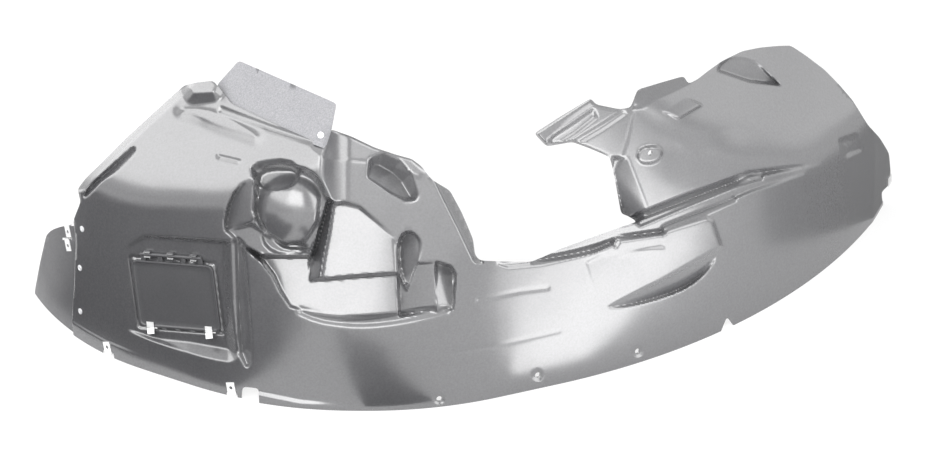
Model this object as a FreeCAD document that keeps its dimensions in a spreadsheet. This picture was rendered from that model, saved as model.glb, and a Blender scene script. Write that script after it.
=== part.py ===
"""Wheel arch liner for a front wheel: a thin moulded shell with its access hatch and fixings.

Units are millimetres. The part stands on its lip edge, the edge that meets the
wing: +Z is up along the wheel's axle direction, +X runs from the front end of
the liner to the rear end and +Y points away from the wheel arch's crown.

The shell is a moulding. Its mould opens along one direction, the draw, which
rises at draw_elevation above the lip plane and points to the body side of the
liner. Every pocket, rib and boss is drawn in the draw plane, with x to the
right and v up, and w is the height towards the mould's opening side.
"""
import FreeCAD, Part
import math
import os

from FreeCAD import Placement, Rotation, Vector

SIZES = [
    ("draw_elevation", 30.0, "angle of the draw above the lip plane, degrees"),
    ("wall", 2.5, "thickness of the moulded shell"),
    ("wall_lean", 5.0, "lean of the arch wall away from the crown side, degrees"),
    ("block_height", 560.0, "height of the form that the shell is drawn over"),
    ("block_back", 760.0, "depth of that form behind the crown of the lip"),
    ("crown_radius", 380.0, "radius of the lip over the wheel"),
    ("crown_x", -123.0, "place of the crown along the liner"),
    ("front_angle", 32.4, "heading of the lip where the crown arc ends in front, degrees"),
    ("front_run", 50.0, "straight run of the lip in front of the crown arc"),
    ("front_end_radius", 350.0, "radius of the lip at the front end"),
    ("front_end_angle", 75.0, "heading at which the front arc stops, degrees"),
    ("middle_angle", 23.3, "heading of the lip where the crown arc ends behind, degrees"),
    ("middle_run", 72.0, "straight run of the lip behind the crown arc"),
    ("rear_radius", 700.0, "radius of the lip down to the sill"),
    ("rear_end_angle", 81.0, "heading at which the rear arc stops, degrees"),
    ("front_top_lean", 62.0, "lean of the front side wall beyond its shoulder, degrees"),
    ("front_shoulder", 60.0, "radius of the front shoulder"),
    ("rear_top_lean", 58.0, "lean of the rear side wall beyond its shoulder, degrees"),
    ("rear_shoulder", 80.0, "radius of the rear shoulder"),
    ("draft", 14.0, "draft of the pocket walls, degrees"),
    ("pocket_corner", 6.0, "corner radius of pockets and bosses"),
    ("hatch_recess_depth", 16.0, "greatest depth of the recess round the hatch"),
    ("hatch_bevel_depth", 15.0, "greatest depth of the sloped foot of that recess"),
    ("valley_depth", 27.0, "greatest depth of the valley beside the hatch frame"),
    ("shelf_lean", 28.0, "lean of the shelf over the crown, degrees"),
    ("shelf_foot", 112.0, "height at which the shelf leaves the arch wall"),
    ("panel_depth", 50.0, "greatest depth of the flat panel above the shelf"),
    ("dome_recess_depth", 40.0, "depth of the recess round the strut dome"),
    ("dome_radius", 36.0, "radius of the strut dome"),
    ("dome_sink", 44.0, "depth of the dome's centre below the arch wall"),
    ("rib_drop", 28.0, "depth of the rib between the dome and the panel"),
    ("corner_pocket_depth", 16.0, "depth of the pocket near the shoulder"),
    ("oval_pocket_depth", 18.0, "depth of the oval pocket beside the panel"),
    ("lobe_edge_depth", 34.0, "fall of the flange at the lobe's rear edge"),
    ("lobe_slide", 32.0, "how far the rear lobe's surface is slid back"),
    ("ledge_slide", 17.0, "how far the ledge in front of it is slid back"),
    ("slide_heading", 58.0, "heading along which both are slid, degrees"),
    ("ledge_block_depth", 14.0, "depth of the step in the ledge"),
    ("scoop_depth", 16.0, "depth of the scoop below the ledge"),
    ("scoop_lip", 9.0, "height of the raised lip under the scoop"),
    ("crown_recess_depth", 18.0, "depth of the recess at the rear lobe's top"),
    ("tongue_depth", 41.0, "fall of the bevelled tongue beside the strut opening"),
    ("boss_height", 6.0, "height of the oval fixing boss above the rear lobe"),
    ("lobe_setback", 15.0, "set back of the rear lobe at the boss"),
    ("pyramid_height", 6.0, "height of the small raised pad"),
    ("hood_height", 16.0, "height of the hood at the front rim"),
    ("rear_flange_fall", 24.0, "fall of the flange at the rear end"),
    ("boss_hole_radius", 3.2, "hole in the fixing boss"),
    ("lip_hole_radius", 3.2, "screw holes along the lip"),
    ("seat_gap", 0.3, "clearance between pieces laid on each other"),
    ("flap_thickness", 2.2, "thickness of the flap at the front end"),
    ("seal_thickness", 2.6, "thickness of the seal strip at the rim"),
    ("lid_width", 106.0, "width of the hatch lid"),
    ("lid_height", 83.0, "height of the hatch lid"),
    ("lid_thickness", 2.5, "thickness of the hatch lid"),
    ("lid_corner", 8.0, "corner radius of the lid"),
    ("lid_rim", 1.2, "height of the raised rim on the lid"),
    ("lid_rim_width", 3.0, "width of that rim"),
    ("hatch_margin", 9.0, "overlap of the lid round the hatch opening"),
    ("hinge_bar_radius", 2.0, "radius of the lid's hinge bar"),
    ("hinge_bar_length", 80.0, "length of the hinge bar"),
    ("hinge_rise", 8.0, "distance from the lid's top edge to the hinge axis"),
    ("hinge_hook_width", 8.0, "width of each hook that holds the hinge bar"),
    ("hinge_hook_spacing", 30.0, "distance between neighbouring hooks"),
    ("hook_wall", 2.0, "thickness of each hook"),
    ("hinge_clearance", 0.4, "running clearance of the hinge bar in its hooks"),
    ("hinge_web", 6.0, "width of the webs between the lid and its hinge bar"),
    ("clip_width", 9.0, "width of a lid clip"),
    ("clip_reach", 11.0, "length of a lid clip"),
    ("clip_spacing", 76.0, "distance between the two lid clips"),
    ("clip_tab", 7.0, "length of a clip's finger tab below the lid"),
    ("clip_sheet", 0.8, "thickness of the clips' spring steel"),
    ("nut_width", 10.0, "width of a spring nut"),
    ("nut_reach", 13.0, "length of a spring nut in from the edge"),
    ("nut_barrel_radius", 4.0, "radius of its thread barrel"),
    ("nut_barrel_height", 4.0, "height of its thread barrel"),
    ("nut_bore_radius", 2.2, "radius of the thread's bore"),
    ("nut_hole_radius", 3.2, "clearance hole in the sheet under a nut"),
    ("sheet_clearance", 0.15, "clearance between a spring nut or clip and the sheet it grips"),
    ("lip_nut_height", 2.0, "height of the lip's notch at a nut"),
    ("flap_slot_height", 4.0, "height of the slot in the front flap"),
    ("rivet_head_radius", 3.6, "radius of a rivet head"),
    ("rivet_head_height", 1.2, "height of a rivet head"),
    ("rivet_shank_radius", 1.6, "radius of a rivet shank"),
    ("rivet_tail_height", 1.0, "height of a rivet's tail behind the sheets"),
    ("rivet_clearance", 0.15, "clearance of a rivet in its holes and on the sheets"),
    ("vent_radius", 1.6, "small hole beside the corner pocket"),
    ("small_round_sides", 12, "sides of the small rivets, barrels and clearance holes"),
]

# Outlines in the draw plane, as (x, v). An inner pair is the middle point of an arc.
SHELL_OUTLINE = [
    (-454, 240), (-457, 255), ((-400, 314), (-335, 373)), (-321, 377), (-300, 379), (-284, 359), (-181, 308),
    (-164, 321), (-115, 302), (-72, 289), ((-58, 280), (-49, 265)), (-29, 253), ((-14, 228), (-2, 197)),
    (0, 179), (6, 173), (64, 171), ((81, 178), (97, 185)), (151, 205), (186, 217), (168, 226), (159, 272),
    (154, 292), (112, 308), (82, 303), (68, 318), (133, 358), (138, 351), (164, 346), (178, 348), (186, 369),
    (240, 385), (245, 375), ((275, 397), (308, 414)), ((337, 421), (366, 421)), ((418, 382), (457, 329)),
    ((479, 306), (485, 275)), (484, 260), (474, 250), (478, 240), (494, 213), (443, 139), (351, 70), (190, 1),
    (6, -34), (-109, -40), (-282, -22), (-408, 24), (-470, 67), (-463, 86), ((-464, 140), (-460, 196)),
    (-463, 218),
]
FRONT_FLAP_OUTLINE = [
    (-431, 213), (-476, 212), (-495, 202), (-510, 136), (-506, 117), (-473, 91), (-455, 40), (-431, 40),
]
SEAL_OUTLINE = [
    (-271, 402), (-158, 352), (-164, 321), (-171, 300), (-283, 345), (-296, 357), (-296, 374),
]

# Where the two shoulders leave the arch wall, as two points of the draw plane each.
FRONT_CREASE = [(-420, 267), (-167, 297)]
REAR_CREASE = [(201, 357), (443, 328)]
LOBE_SPLIT = 50.0

# Pockets: outline, then three floor points as (x, v, share of the depth).
HATCH_RECESS = [(-399, 188), (-379, 201), (-275, 193), (-273, 81), (-284, 70), (-374, 80), (-399, 93)]
HATCH_FLOOR = [(-399, 188, 0.06), (-399, 87, 0.06), (-274, 81, 1.0)]
HATCH_BEVEL = [(-374, 92), (-280, 84), (-264, 42), (-288, 47), (-336, 62)]
HATCH_BEVEL_FLOOR = [(-374, 78, 0.0), (-284, 74, 1.0), (-300, 50, 0.0)]
VALLEY = [(-270, 194), (-263, 191), (-240, 177), (-201, 112), (-201, 93), (-238, 49), (-258, 51)]
VALLEY_FLOOR = [(-256, 44, 0.0), (-201, 109, 0.11), (-259, 189, 1.0)]
SHELF = [
    (-244, 175), (-201, 185), (-89, 164), (-66, 168), (-41, 166), (-23, 157), (-26, 116), (-54, 108),
    (-140, 92), (-204, 104),
]
PANEL = [(-160, 237), (-141, 236), (-92, 200), (-89, 159), (-175, 151), (-164, 200)]
PANEL_FLOOR = [(-175, 150, 0.32), (-89, 157, 0.32), (-141, 235, 1.0)]
DOME_RECESS = [
    (-259, 273), (-279, 254), (-292, 233), (-294, 217), (-283, 201), (-263, 189), (-238, 178), (-191, 179),
    (-176, 202), (-162, 236), (-171, 262), (-195, 280), (-218, 285), (-241, 282),
]
DOME_FLOOR = [(-288, 208, 0.85), (-167, 254, 0.85), (-247, 277, 1.25)]
DOME_CENTRE = (-212, 234)
RIB = [(-170, 244), (-155, 239), (-167, 196), (-176, 151), (-192, 149), (-190, 178)]
RIB_FLOOR = [(-190, 162, 0.7), (-169, 242, 0.7), (-158, 196, 1.2)]
CORNER_POCKET = [(-130, 264), (-113, 285), (-98, 282), (-84, 270), (-71, 248), (-94, 243), (-112, 250)]
CORNER_FLOOR = [(-113, 285, 1.0), (-98, 281, 1.0), (-92, 242, 0.0)]
OVAL_POCKET = [(-89, 189), (-84, 202), (-76, 206), (-62, 197), (-59, 183), (-78, 139), (-91, 171)]
OVAL_FLOOR = [(-89, 189, 1.0), (-78, 139, 0.33), (-60, 185, 0.1)]
LOBE_EDGE = [(-47, 263), (-2, 172), (17, 171), (3, 213), (-23, 265), (-45, 279)]
LOBE_EDGE_FLOOR = [(-47, 263, 0.0), (-2, 172, 0.0), (-6, 213, 1.0)]
REAR_LOBE = [
    (130, 190), (164, 212), (186, 218), (247, 242), (316, 269), (400, 279), (400, 470), (100, 470), (29, 357),
    (29, 220),
]
REAR_LEDGE = [
    (52, 185), (66, 170), (98, 175), (136, 182), (158, 193), (162, 200), (214, 201), (217, 211), (264, 229),
    (319, 252), (400, 278), (400, 300), (52, 300),
]
LEDGE_BLOCK = [(162, 203), (214, 206), (217, 188), (190, 181), (163, 177)]
LEDGE_BLOCK_FLOOR = [(162, 198, 1.0), (214, 202, 1.0), (190, 181, 1.0)]
SCOOP = [(133, 177), (214, 188), (214, 204), (267, 221), (274, 218), (288, 188), (284, 184), (146, 115)]
SCOOP_FLOOR = [(146, 118, -0.56), (283, 185, -0.56), (217, 188, 1.0)]
SCOOP_LIP = [(143, 117), (156, 138), (262, 190), (286, 186), (267, 160), (247, 145), (220, 131), (178, 119)]
SCOOP_LIP_TOP = [(146, 118, 1.0), (283, 185, 1.0), (220, 131, -0.2)]
CROWN_RECESS = [(277, 396), (307, 407), (327, 401), (354, 374), (316, 377), (291, 381)]
CROWN_RECESS_FLOOR = [(277, 396, 0.1), (354, 374, 0.0), (310, 407, 1.0)]
TONGUE = [(150, 279), (175, 288), (190, 254), (199, 229), (190, 214), (160, 214)]
TONGUE_FLOOR = [(175, 288, 0.37), (198, 229, 0.37), (163, 248, 1.0)]
REAR_FLANGE = [(457, 340), (465, 312), (467, 281), (466, 246), (462, 214), (520, 214), (520, 340)]
REAR_FLANGE_FLOOR = [(466, 300, 0.0), (466, 250, 0.0), (486, 270, 1.0)]

# Raised forms: outline, then three points of the top as (x, v, share of the height).
BOSS = [(186, 296), (193, 303), (207, 304), (216, 300), (215, 290), (207, 283), (193, 282), (187, 288)]
BOSS_TOP = [(186, 296, 1.0), (216, 300, 1.0), (200, 282, 1.0)]
PYRAMID = [(214, 344), (243, 361), (261, 351), (233, 335)]
HOOD = [(-330, 361), (-325, 374), (-313, 384), (-298, 384), (-281, 361), (-292, 348), (-316, 352)]

# Notches through the lip.
LIP_NOTCH = [(-267, 28), (-248, 26), (-248, -30), (-267, -30)]
REAR_NOTCH = [(281, 84), (291, 108), (301, 88), (303, 40), (281, 40)]

# Single places in the draw plane.
HATCH_CENTRE = (-342, 133)
LIP_SCREWS = [(-41, 14), (72, 41), (187, 68)]
BOSS_CENTRE = (201, 296)
VENT = (-76, 277)
FLAP_RIVETS = [(-452, 209), (-455, 164), (-455, 114)]
SEAL_RIVET = (-176, 316)
UPPER_NUT_EDGE = (-470, 212)
LOWER_NUT_EDGE = (-470, 196)
LIP_NUTS = [-422, -279]
REAR_CLIP_EDGE = (485.3, 268)
HINGE_SLOPE = -0.078

PYRAMID_TOP = [(214, 344, 1.0), (243, 361, 1.0), (233, 335, 1.0)]
HOOD_TOP = [(-330, 361, 1.0), (-298, 384, 1.0), (-292, 348, 1.0)]
POCKETS = [
    ("hatch_recess", HATCH_RECESS, HATCH_FLOOR, "hatch_recess_depth"),
    ("hatch_bevel", HATCH_BEVEL, HATCH_BEVEL_FLOOR, "hatch_bevel_depth"),
    ("valley", VALLEY, VALLEY_FLOOR, "valley_depth"),
    ("panel", PANEL, PANEL_FLOOR, "panel_depth"),
    ("dome_recess", DOME_RECESS, DOME_FLOOR, "dome_recess_depth"),
    ("rib", RIB, RIB_FLOOR, "rib_drop"),
    ("corner_pocket", CORNER_POCKET, CORNER_FLOOR, "corner_pocket_depth"),
    ("oval_pocket", OVAL_POCKET, OVAL_FLOOR, "oval_pocket_depth"),
    ("lobe_edge", LOBE_EDGE, LOBE_EDGE_FLOOR, "lobe_edge_depth"),
    ("ledge_block", LEDGE_BLOCK, LEDGE_BLOCK_FLOOR, "ledge_block_depth"),
    ("scoop", SCOOP, SCOOP_FLOOR, "scoop_depth"),
    ("crown_recess", CROWN_RECESS, CROWN_RECESS_FLOOR, "crown_recess_depth"),
    ("tongue", TONGUE, TONGUE_FLOOR, "tongue_depth"),
]

# Rounds in which the pockets are cut. No two pockets of one round touch.
POCKET_ROUNDS = [
    ("hatch_recess", "dome_recess", "oval_pocket", "scoop", "crown_recess", "tongue", "lobe_edge"),
    ("hatch_bevel", "panel", "ledge_block", "corner_pocket"),
    ("valley", "rib"),
]

# Working lengths of the construction, far outside the part or below any real size.
FAR = 900.0
OPEN_MARGIN = 100.0
TOOL_REACH = 30.0
CUT_REACH = 12.0
# Slack of the slots round the lid clips, and the hooks' mouth as a share of the bar.
CLIP_SLACK = 1.5
HOOK_MOUTH = 0.8
TOUCH = 0.01
# Greatest share of a side that one rounded corner takes, and the least turn that is rounded.
CORNER_SHARE = 0.4
LEAST_TURN = 0.25
EASE_STEPS = 6
MOST_SKEW = 0.9

document = FreeCAD.newDocument("wheel_arch_liner")
sheet = document.addObject("Spreadsheet::Sheet", "Sizes")
for row, (alias, value, meaning) in enumerate(SIZES, start=1):
    sheet.set(f"A{row}", meaning)
    sheet.set(f"B{row}", str(value))
    sheet.setAlias(f"B{row}", alias)
document.recompute()


def size(alias):
    """A size from the sheet."""
    return float(sheet.get(alias))


ELEVATION = math.radians(size("draw_elevation"))
LEAN = math.radians(size("wall_lean"))
DRAW = Vector(0, -math.cos(ELEVATION), math.sin(ELEVATION))
DRAW_UP = Vector(0, math.sin(ELEVATION), math.cos(ELEVATION))
RISE = Vector(0, math.tan(LEAN), 1)
ALONG_X = Rotation(Vector(0, 1, 0), 90)
known_levels = {}


def to_part(x, v, w):
    """A point of the draw frame in the part's frame."""
    return Vector(x, 0, 0) + DRAW_UP * v + DRAW * w


def draw_level(point):
    """The height of a point of the part's frame along the draw."""
    return point.dot(DRAW)


def heading_vector(degrees):
    """Unit vector of a heading in the lip plane."""
    angle = math.radians(degrees)
    return Vector(math.cos(angle), math.sin(angle), 0)


def inward_vector(degrees):
    """Unit vector that points from the lip into the arch, at a heading."""
    angle = math.radians(degrees)
    return Vector(-math.sin(angle), math.cos(angle), 0)


def lip_arc(centre, radius, first, last):
    """Arc of the lip between two headings."""
    circle = Part.Circle(centre, Vector(0, 0, 1), radius)
    return Part.ArcOfCircle(circle, math.radians(first - 90), math.radians(last - 90))


def lip_curve(inset):
    """The lip's edges from the front end to the rear end, moved into the arch by inset."""
    front = -size("front_angle")
    middle = size("middle_angle")
    front_end = -size("front_end_angle")
    rear_end = size("rear_end_angle")
    crown = Vector(size("crown_x"), size("crown_radius"), 0)
    front_start = crown - inward_vector(front) * size("crown_radius")
    front_stop = front_start - heading_vector(front) * size("front_run")
    front_centre = front_stop + inward_vector(front) * size("front_end_radius")
    middle_start = crown - inward_vector(middle) * size("crown_radius")
    middle_stop = middle_start + heading_vector(middle) * size("middle_run")
    rear_centre = middle_stop + inward_vector(middle) * size("rear_radius")
    front_inset = inward_vector(front) * inset
    middle_inset = inward_vector(middle) * inset
    return [
        lip_arc(front_centre, size("front_end_radius") - inset, front_end, front),
        Part.LineSegment(front_stop + front_inset, front_start + front_inset),
        lip_arc(crown, size("crown_radius") - inset, front, middle),
        Part.LineSegment(middle_start + middle_inset, middle_stop + middle_inset),
        lip_arc(rear_centre, size("rear_radius") - inset, middle, rear_end),
    ]


def sketch(name, geometry, placement):
    """A sketch that holds the given lines and arcs."""
    drawing = document.addObject("Sketcher::SketchObject", name)
    drawing.Placement = placement
    drawing.addGeometry(geometry, False)
    return drawing


def closed_path(points):
    """Lines and arcs through an outline's points."""
    corners = [point[1] if isinstance(point[0], tuple) else point for point in points]
    geometry = []
    for index, point in enumerate(points):
        start = Vector(*corners[index - 1], 0)
        end = Vector(*corners[index], 0)
        if isinstance(point[0], tuple):
            geometry.append(Part.Arc(start, Vector(*point[0], 0), end))
        else:
            geometry.append(Part.LineSegment(start, end))
    return geometry


def extruded(name, drawing, direction, rule, reverse="0"):
    """A solid swept from a sketch, with its lengths as expressions."""
    body = document.addObject("Part::Extrusion", name)
    body.Base = drawing
    body.DirMode = "Custom"
    body.Dir = direction
    body.Solid = True
    body.setExpression("LengthFwd", rule)
    body.setExpression("LengthRev", reverse)
    return body


def bind(part, rules):
    """Tie an object's properties to expressions on the sheet."""
    for name, rule in rules.items():
        part.setExpression(name, rule)
    return part


def boolean(kind, name, base, tool):
    """A Cut, Fuse or Common of two objects."""
    result = document.addObject(f"Part::{kind}", name)
    result.Base = base
    result.Tool = tool
    return result


def form_block(name, inset, slide=Vector(), lean=LEAN, margin=0.0):
    """The block behind the arch wall, inset, slid and leaning, longer by margin at its open sides."""
    edges = lip_curve(inset)
    first = edges[0].StartPoint
    last = edges[-1].EndPoint
    flare_first = first - inward_vector(-size("front_end_angle")) * margin
    flare_last = last - inward_vector(size("rear_end_angle")) * margin
    back = size("block_back") + margin
    corners = [last, flare_last, Vector(flare_last.x, back, 0), Vector(flare_first.x, back, 0), flare_first, first]
    for start, end in zip(corners, corners[1:]):
        if start.distanceToPoint(end) > TOUCH:
            edges.append(Part.LineSegment(start, end))
    tilt = Vector(0, math.tan(lean), 1)
    drawing = sketch(name + "_lip", edges, Placement(slide, Rotation()))
    stretch = f"{tilt.Length:.9f}"
    return extruded(name, drawing, tilt, f"{stretch} * (Sizes.block_height + {margin})", f"{stretch} * {margin}")


def level_on(solid, x, v):
    """Height along the draw at which a solid's mould side is met at (x, v)."""
    place = (solid.hashCode(), x, v)
    if place not in known_levels:
        ray = Part.makeLine(to_part(x, v, -FAR), to_part(x, v, FAR))
        hits = solid.common(ray).Vertexes
        known_levels[place] = max(draw_level(vertex.Point) for vertex in hits)
    return known_levels[place]


def surface_frame(solid, x, v):
    """Placement on a solid's surface: Z outwards, Y up the surface."""
    point = to_part(x, v, level_on(solid, x, v))
    face = min(solid.Faces, key=lambda item: item.distToShape(Part.Vertex(point))[0])
    normal = face.normalAt(*face.Surface.parameter(point))
    across = DRAW_UP.cross(normal).normalize()
    upwards = normal.cross(across)
    return Placement(point, Rotation(across, upwards, normal, "ZXY"))


def plane_through(points):
    """Plane (normal, distance) through three points of the draw frame, normal to the mould side."""
    first, second, third = points
    normal = (second - first).cross(third - first).normalize()
    if normal.z < 0:
        normal = normal * -1
    return normal, normal.dot(first)


def meeting(planes):
    """The point where three planes meet."""
    (n1, d1), (n2, d2), (n3, d3) = planes
    divisor = n1.dot(n2.cross(n3))
    return (n2.cross(n3) * d1 + n3.cross(n1) * d2 + n1.cross(n2) * d3) / divisor


def draft_sides(corners, spread, draft, rounding):
    """Planes through the sides of an outline on a surface, drafted along the draw.

    Each side is a normal, its distance and its heading. A corner that turns outwards
    gets one more plane, tangent to its rounding.
    """
    slope = math.tan(math.radians(draft))
    runs = [end - start for start, end in zip(corners, corners[1:] + corners[:1])]
    lengths = [math.hypot(run.x, run.y) for run in runs]
    headings = []
    for run, length in zip(runs, lengths):
        skew = math.asin(max(-MOST_SKEW, min(MOST_SKEW, slope * run.z / length)))
        headings.append(math.atan2(run.y, run.x) + skew)
    sides = []
    for i, corner in enumerate(corners):
        turn = math.remainder(headings[i] - headings[i - 1], 2 * math.pi)
        wanted = [(headings[i], 0.0)]
        if rounding > 0 and turn > LEAST_TURN:
            share = CORNER_SHARE * min(lengths[i - 1], lengths[i]) / math.tan(turn / 2)
            cut_back = min(rounding, share) * (1 / math.cos(turn / 2) - 1)
            wanted.insert(0, (headings[i] - turn / 2, cut_back))
        for heading, cut_back in wanted:
            normal = Vector(math.sin(heading), -math.cos(heading), -slope)
            sides.append((normal, normal.dot(corner) + spread - cut_back, heading))
    return sides


def rings_of(sides, ends):
    """The corners where neighbouring sides meet each end plane, in the draw frame."""
    return [[meeting((sides[i - 1][:2], sides[i][:2], end_plane)) for i in range(len(sides))]
            for end_plane in ends]


def keeps_sides(sides, rings):
    """Whether every side still runs its own way in both rings."""
    for ring in rings:
        for i, (normal, distance, heading) in enumerate(sides):
            run = ring[(i + 1) % len(ring)] - ring[i]
            if run.x * math.cos(heading) + run.y * math.sin(heading) <= TOUCH:
                return False
    return True


def counter_clockwise(outline):
    """An outline's points as vectors, turned so that they run counter-clockwise."""
    points = [Vector(*point) for point in outline]
    area = sum(a.x * b.y - b.x * a.y for a, b in zip(points, points[1:] + points[:1]))
    if area < 0:
        points.reverse()
    return points


def drafted_rings(points, variants, wanted, draft, rounding):
    """Corner rings of the wanted variant of a drafted form.

    A variant is a spread of the sides and the form's two end planes. Draft and
    rounding are eased until no short side vanishes in any variant, so that the outer
    and the inner form of a pocket keep the same wall between them.
    """
    for step in range(EASE_STEPS * EASE_STEPS):
        draft_share = 1 - (step // EASE_STEPS) / (EASE_STEPS - 1)
        rounding_share = 1 - (step % EASE_STEPS) / (EASE_STEPS - 1)
        found = []
        for spread, ends in variants:
            sides = draft_sides(points, spread, draft * draft_share, rounding * rounding_share)
            found.append((sides, rings_of(sides, ends)))
        if all(keeps_sides(sides, rings) for sides, rings in found):
            break
    return found[wanted][1]


def ring_solid(rings):
    """The solid between two rings of corners of the draw frame."""
    lower, upper = [[to_part(*point) for point in ring] for ring in rings]
    faces = [Part.Face(Part.makePolygon(ring + ring[:1])) for ring in (lower, upper)]
    for i in range(len(lower)):
        j = (i + 1) % len(lower)
        faces.append(Part.Face(Part.makePolygon([lower[i], lower[j], upper[j], upper[i], lower[i]])))
    shell = Part.makeShell(faces)
    shell.sewShape()
    solid = Part.makeSolid(shell)
    if solid.Volume < 0:
        solid.reverse()
    return solid


def feature(name, shape):
    """A document object that holds a shape worked out from the sheet."""
    part = document.addObject("Part::Feature", name)
    part.Shape = shape
    return part


def level_plane(level):
    """Plane of the draw frame at one height."""
    return Vector(0, 0, 1), level


def cap_plane(base, points, amount, shift):
    """Plane through three points given as shares of an amount above the base surface."""
    corners = [Vector(x, v, level_on(base, x, v) + share * amount) for x, v, share in points]
    normal, distance = plane_through(corners)
    return normal, distance + shift


def on_surface(base, outline):
    """An outline's points laid on a surface, as (x, v, level)."""
    return [(x, v, level_on(base, x, v)) for x, v in outline]


def level_of(plane, x, v):
    """Height of a plane of the draw frame at (x, v)."""
    normal, distance = plane
    return (distance - normal.x * x - normal.y * v) / normal.z


def pocket_tool(name, base, outline, floor, depth, inset):
    """Tool that cuts a pocket with a sloping floor, grown by inset for the inner form."""
    draft = size("draft")
    mouth = on_surface(base, outline)
    variants = []
    for grown in (0.0, size("wall")):
        cap = cap_plane(base, floor, -depth, -grown)
        top = max(max(level, level_of(cap, x, v)) for x, v, level in mouth)
        variants.append((grown / math.cos(math.radians(draft)), (cap, level_plane(top + TOOL_REACH))))
    wanted = 1 if inset else 0
    points = counter_clockwise(mouth)
    return feature(name, ring_solid(drafted_rings(points, variants, wanted, draft, size("pocket_corner"))))


def raised_tool(name, base, outline, top, height, inset):
    """Tool that adds a raised form with a sloping top, shrunk by inset for the inner form."""
    draft = size("draft")
    foot = on_surface(base, outline)
    variants = []
    for shrunk in (0.0, size("wall")):
        cap = cap_plane(base, top, height, -shrunk)
        bottom = min(min(level, level_of(cap, x, v)) for x, v, level in foot)
        variants.append((-shrunk / math.cos(math.radians(draft)), (cap, level_plane(bottom - TOOL_REACH))))
    wanted = 1 if inset else 0
    points = counter_clockwise(foot)
    return feature(name, ring_solid(drafted_rings(points, variants, wanted, -draft, size("pocket_corner"))))


def prism(name, outline, spread=0.0):
    """Solid that holds everything inside an outline of the draw plane."""
    points = counter_clockwise([(x, v, 0) for x, v in outline])
    ends = (level_plane(-FAR), level_plane(FAR))
    return feature(name, ring_solid(rings_of(draft_sides(points, spread, 0, 0), ends)))


def plane_cut(name, base, outline, floor, depth, inset):
    """Tool that cuts the surface back to a plane inside an outline, with upright sides."""
    cap = cap_plane(base, floor, -depth, -inset)
    points = counter_clockwise([(x, v, 0) for x, v in outline])
    sides = draft_sides(points, inset, 0, 0)
    top = max(level_of(cap, x, v) for x, v in outline)
    return feature(name, ring_solid(rings_of(sides, (cap, level_plane(top + TOOL_REACH)))))


def region_tool(name, outline, block, inset):
    """Tool that cuts the surface back to a block inside an outline."""
    return boolean("Cut", name, prism(name + "_reach", outline, inset), block)


def shoulder_plane(base, crease, lean):
    """Plane of a side wall that leans back from two points of its crease."""
    first, second = [Vector(x, v, level_on(base, x, v)) for x, v in crease]
    slope = Vector(0, 1, math.tan(ELEVATION - math.radians(lean)))
    return plane_through([first, second, first + slope])


def shoulder_box(name, plane, crease, inset):
    """Box that cuts the form off above a shoulder's plane."""
    normal, distance = plane
    on_plane = [Vector(x, v, (distance - normal.x * x - normal.y * v) / normal.z) for x, v in crease]
    along = (on_plane[1] - on_plane[0]).normalize()
    across = normal.cross(along)
    corner = on_plane[0] - normal * inset - (along + across) * FAR
    axes = [to_part(*axis) for axis in (along, across, normal)]
    box = document.addObject("Part::Box", name)
    box.Length = FAR * 2
    box.Width = FAR * 2
    box.Height = FAR
    box.Placement = Placement(to_part(*corner), Rotation(axes[0], axes[1], axes[2], "ZXY"))
    return box


def crease_edges(shape, box, inset):
    """Numbers of the edges where a shoulder box meets the arch wall."""
    lip = Part.Wire([edge.toShape() for edge in lip_curve(inset)])
    normal = box.Placement.Rotation.multVec(Vector(0, 0, 1))
    found = []
    for number, edge in enumerate(shape.Edges, start=1):
        first, last = edge.ParameterRange
        point = edge.valueAt((first + last) / 2)
        on_plane = abs((point - box.Placement.Base).dot(normal)) < TOUCH
        foot = point - RISE * point.z
        if on_plane and lip.distToShape(Part.Vertex(foot))[0] < TOUCH:
            found.append(number)
    return found


def base_form(name, inset, planes, margin):
    """The liner's form with its two rounded shoulders and no features."""
    block = form_block(name + "_block", inset, margin=margin)
    halves = []
    for label, plane, crease in planes:
        box = shoulder_box(f"{name}_{label}_side", plane, crease, inset)
        cut_form = boolean("Cut", f"{name}_{label}_cut", block, box)
        document.recompute()
        radius = size(f"{label}_shoulder") - inset
        rounded = document.addObject("Part::Fillet", f"{name}_{label}_shoulder")
        rounded.Base = cut_form
        rounded.Edges = [(number, radius, radius) for number in crease_edges(cut_form.Shape, box, inset)]
        half_box = document.addObject("Part::Box", f"{name}_{label}_half")
        half_box.Length = half_box.Width = half_box.Height = FAR * 2
        left = LOBE_SPLIT if halves else LOBE_SPLIT - FAR * 2
        half_box.Placement = Placement(Vector(left, -FAR, -FAR), Rotation())
        halves.append(boolean("Common", f"{name}_{label}_lobe", rounded, half_box))
    form = boolean("Fuse", name + "_base", *halves)
    form.Refine = True
    document.recompute()
    return form


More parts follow.
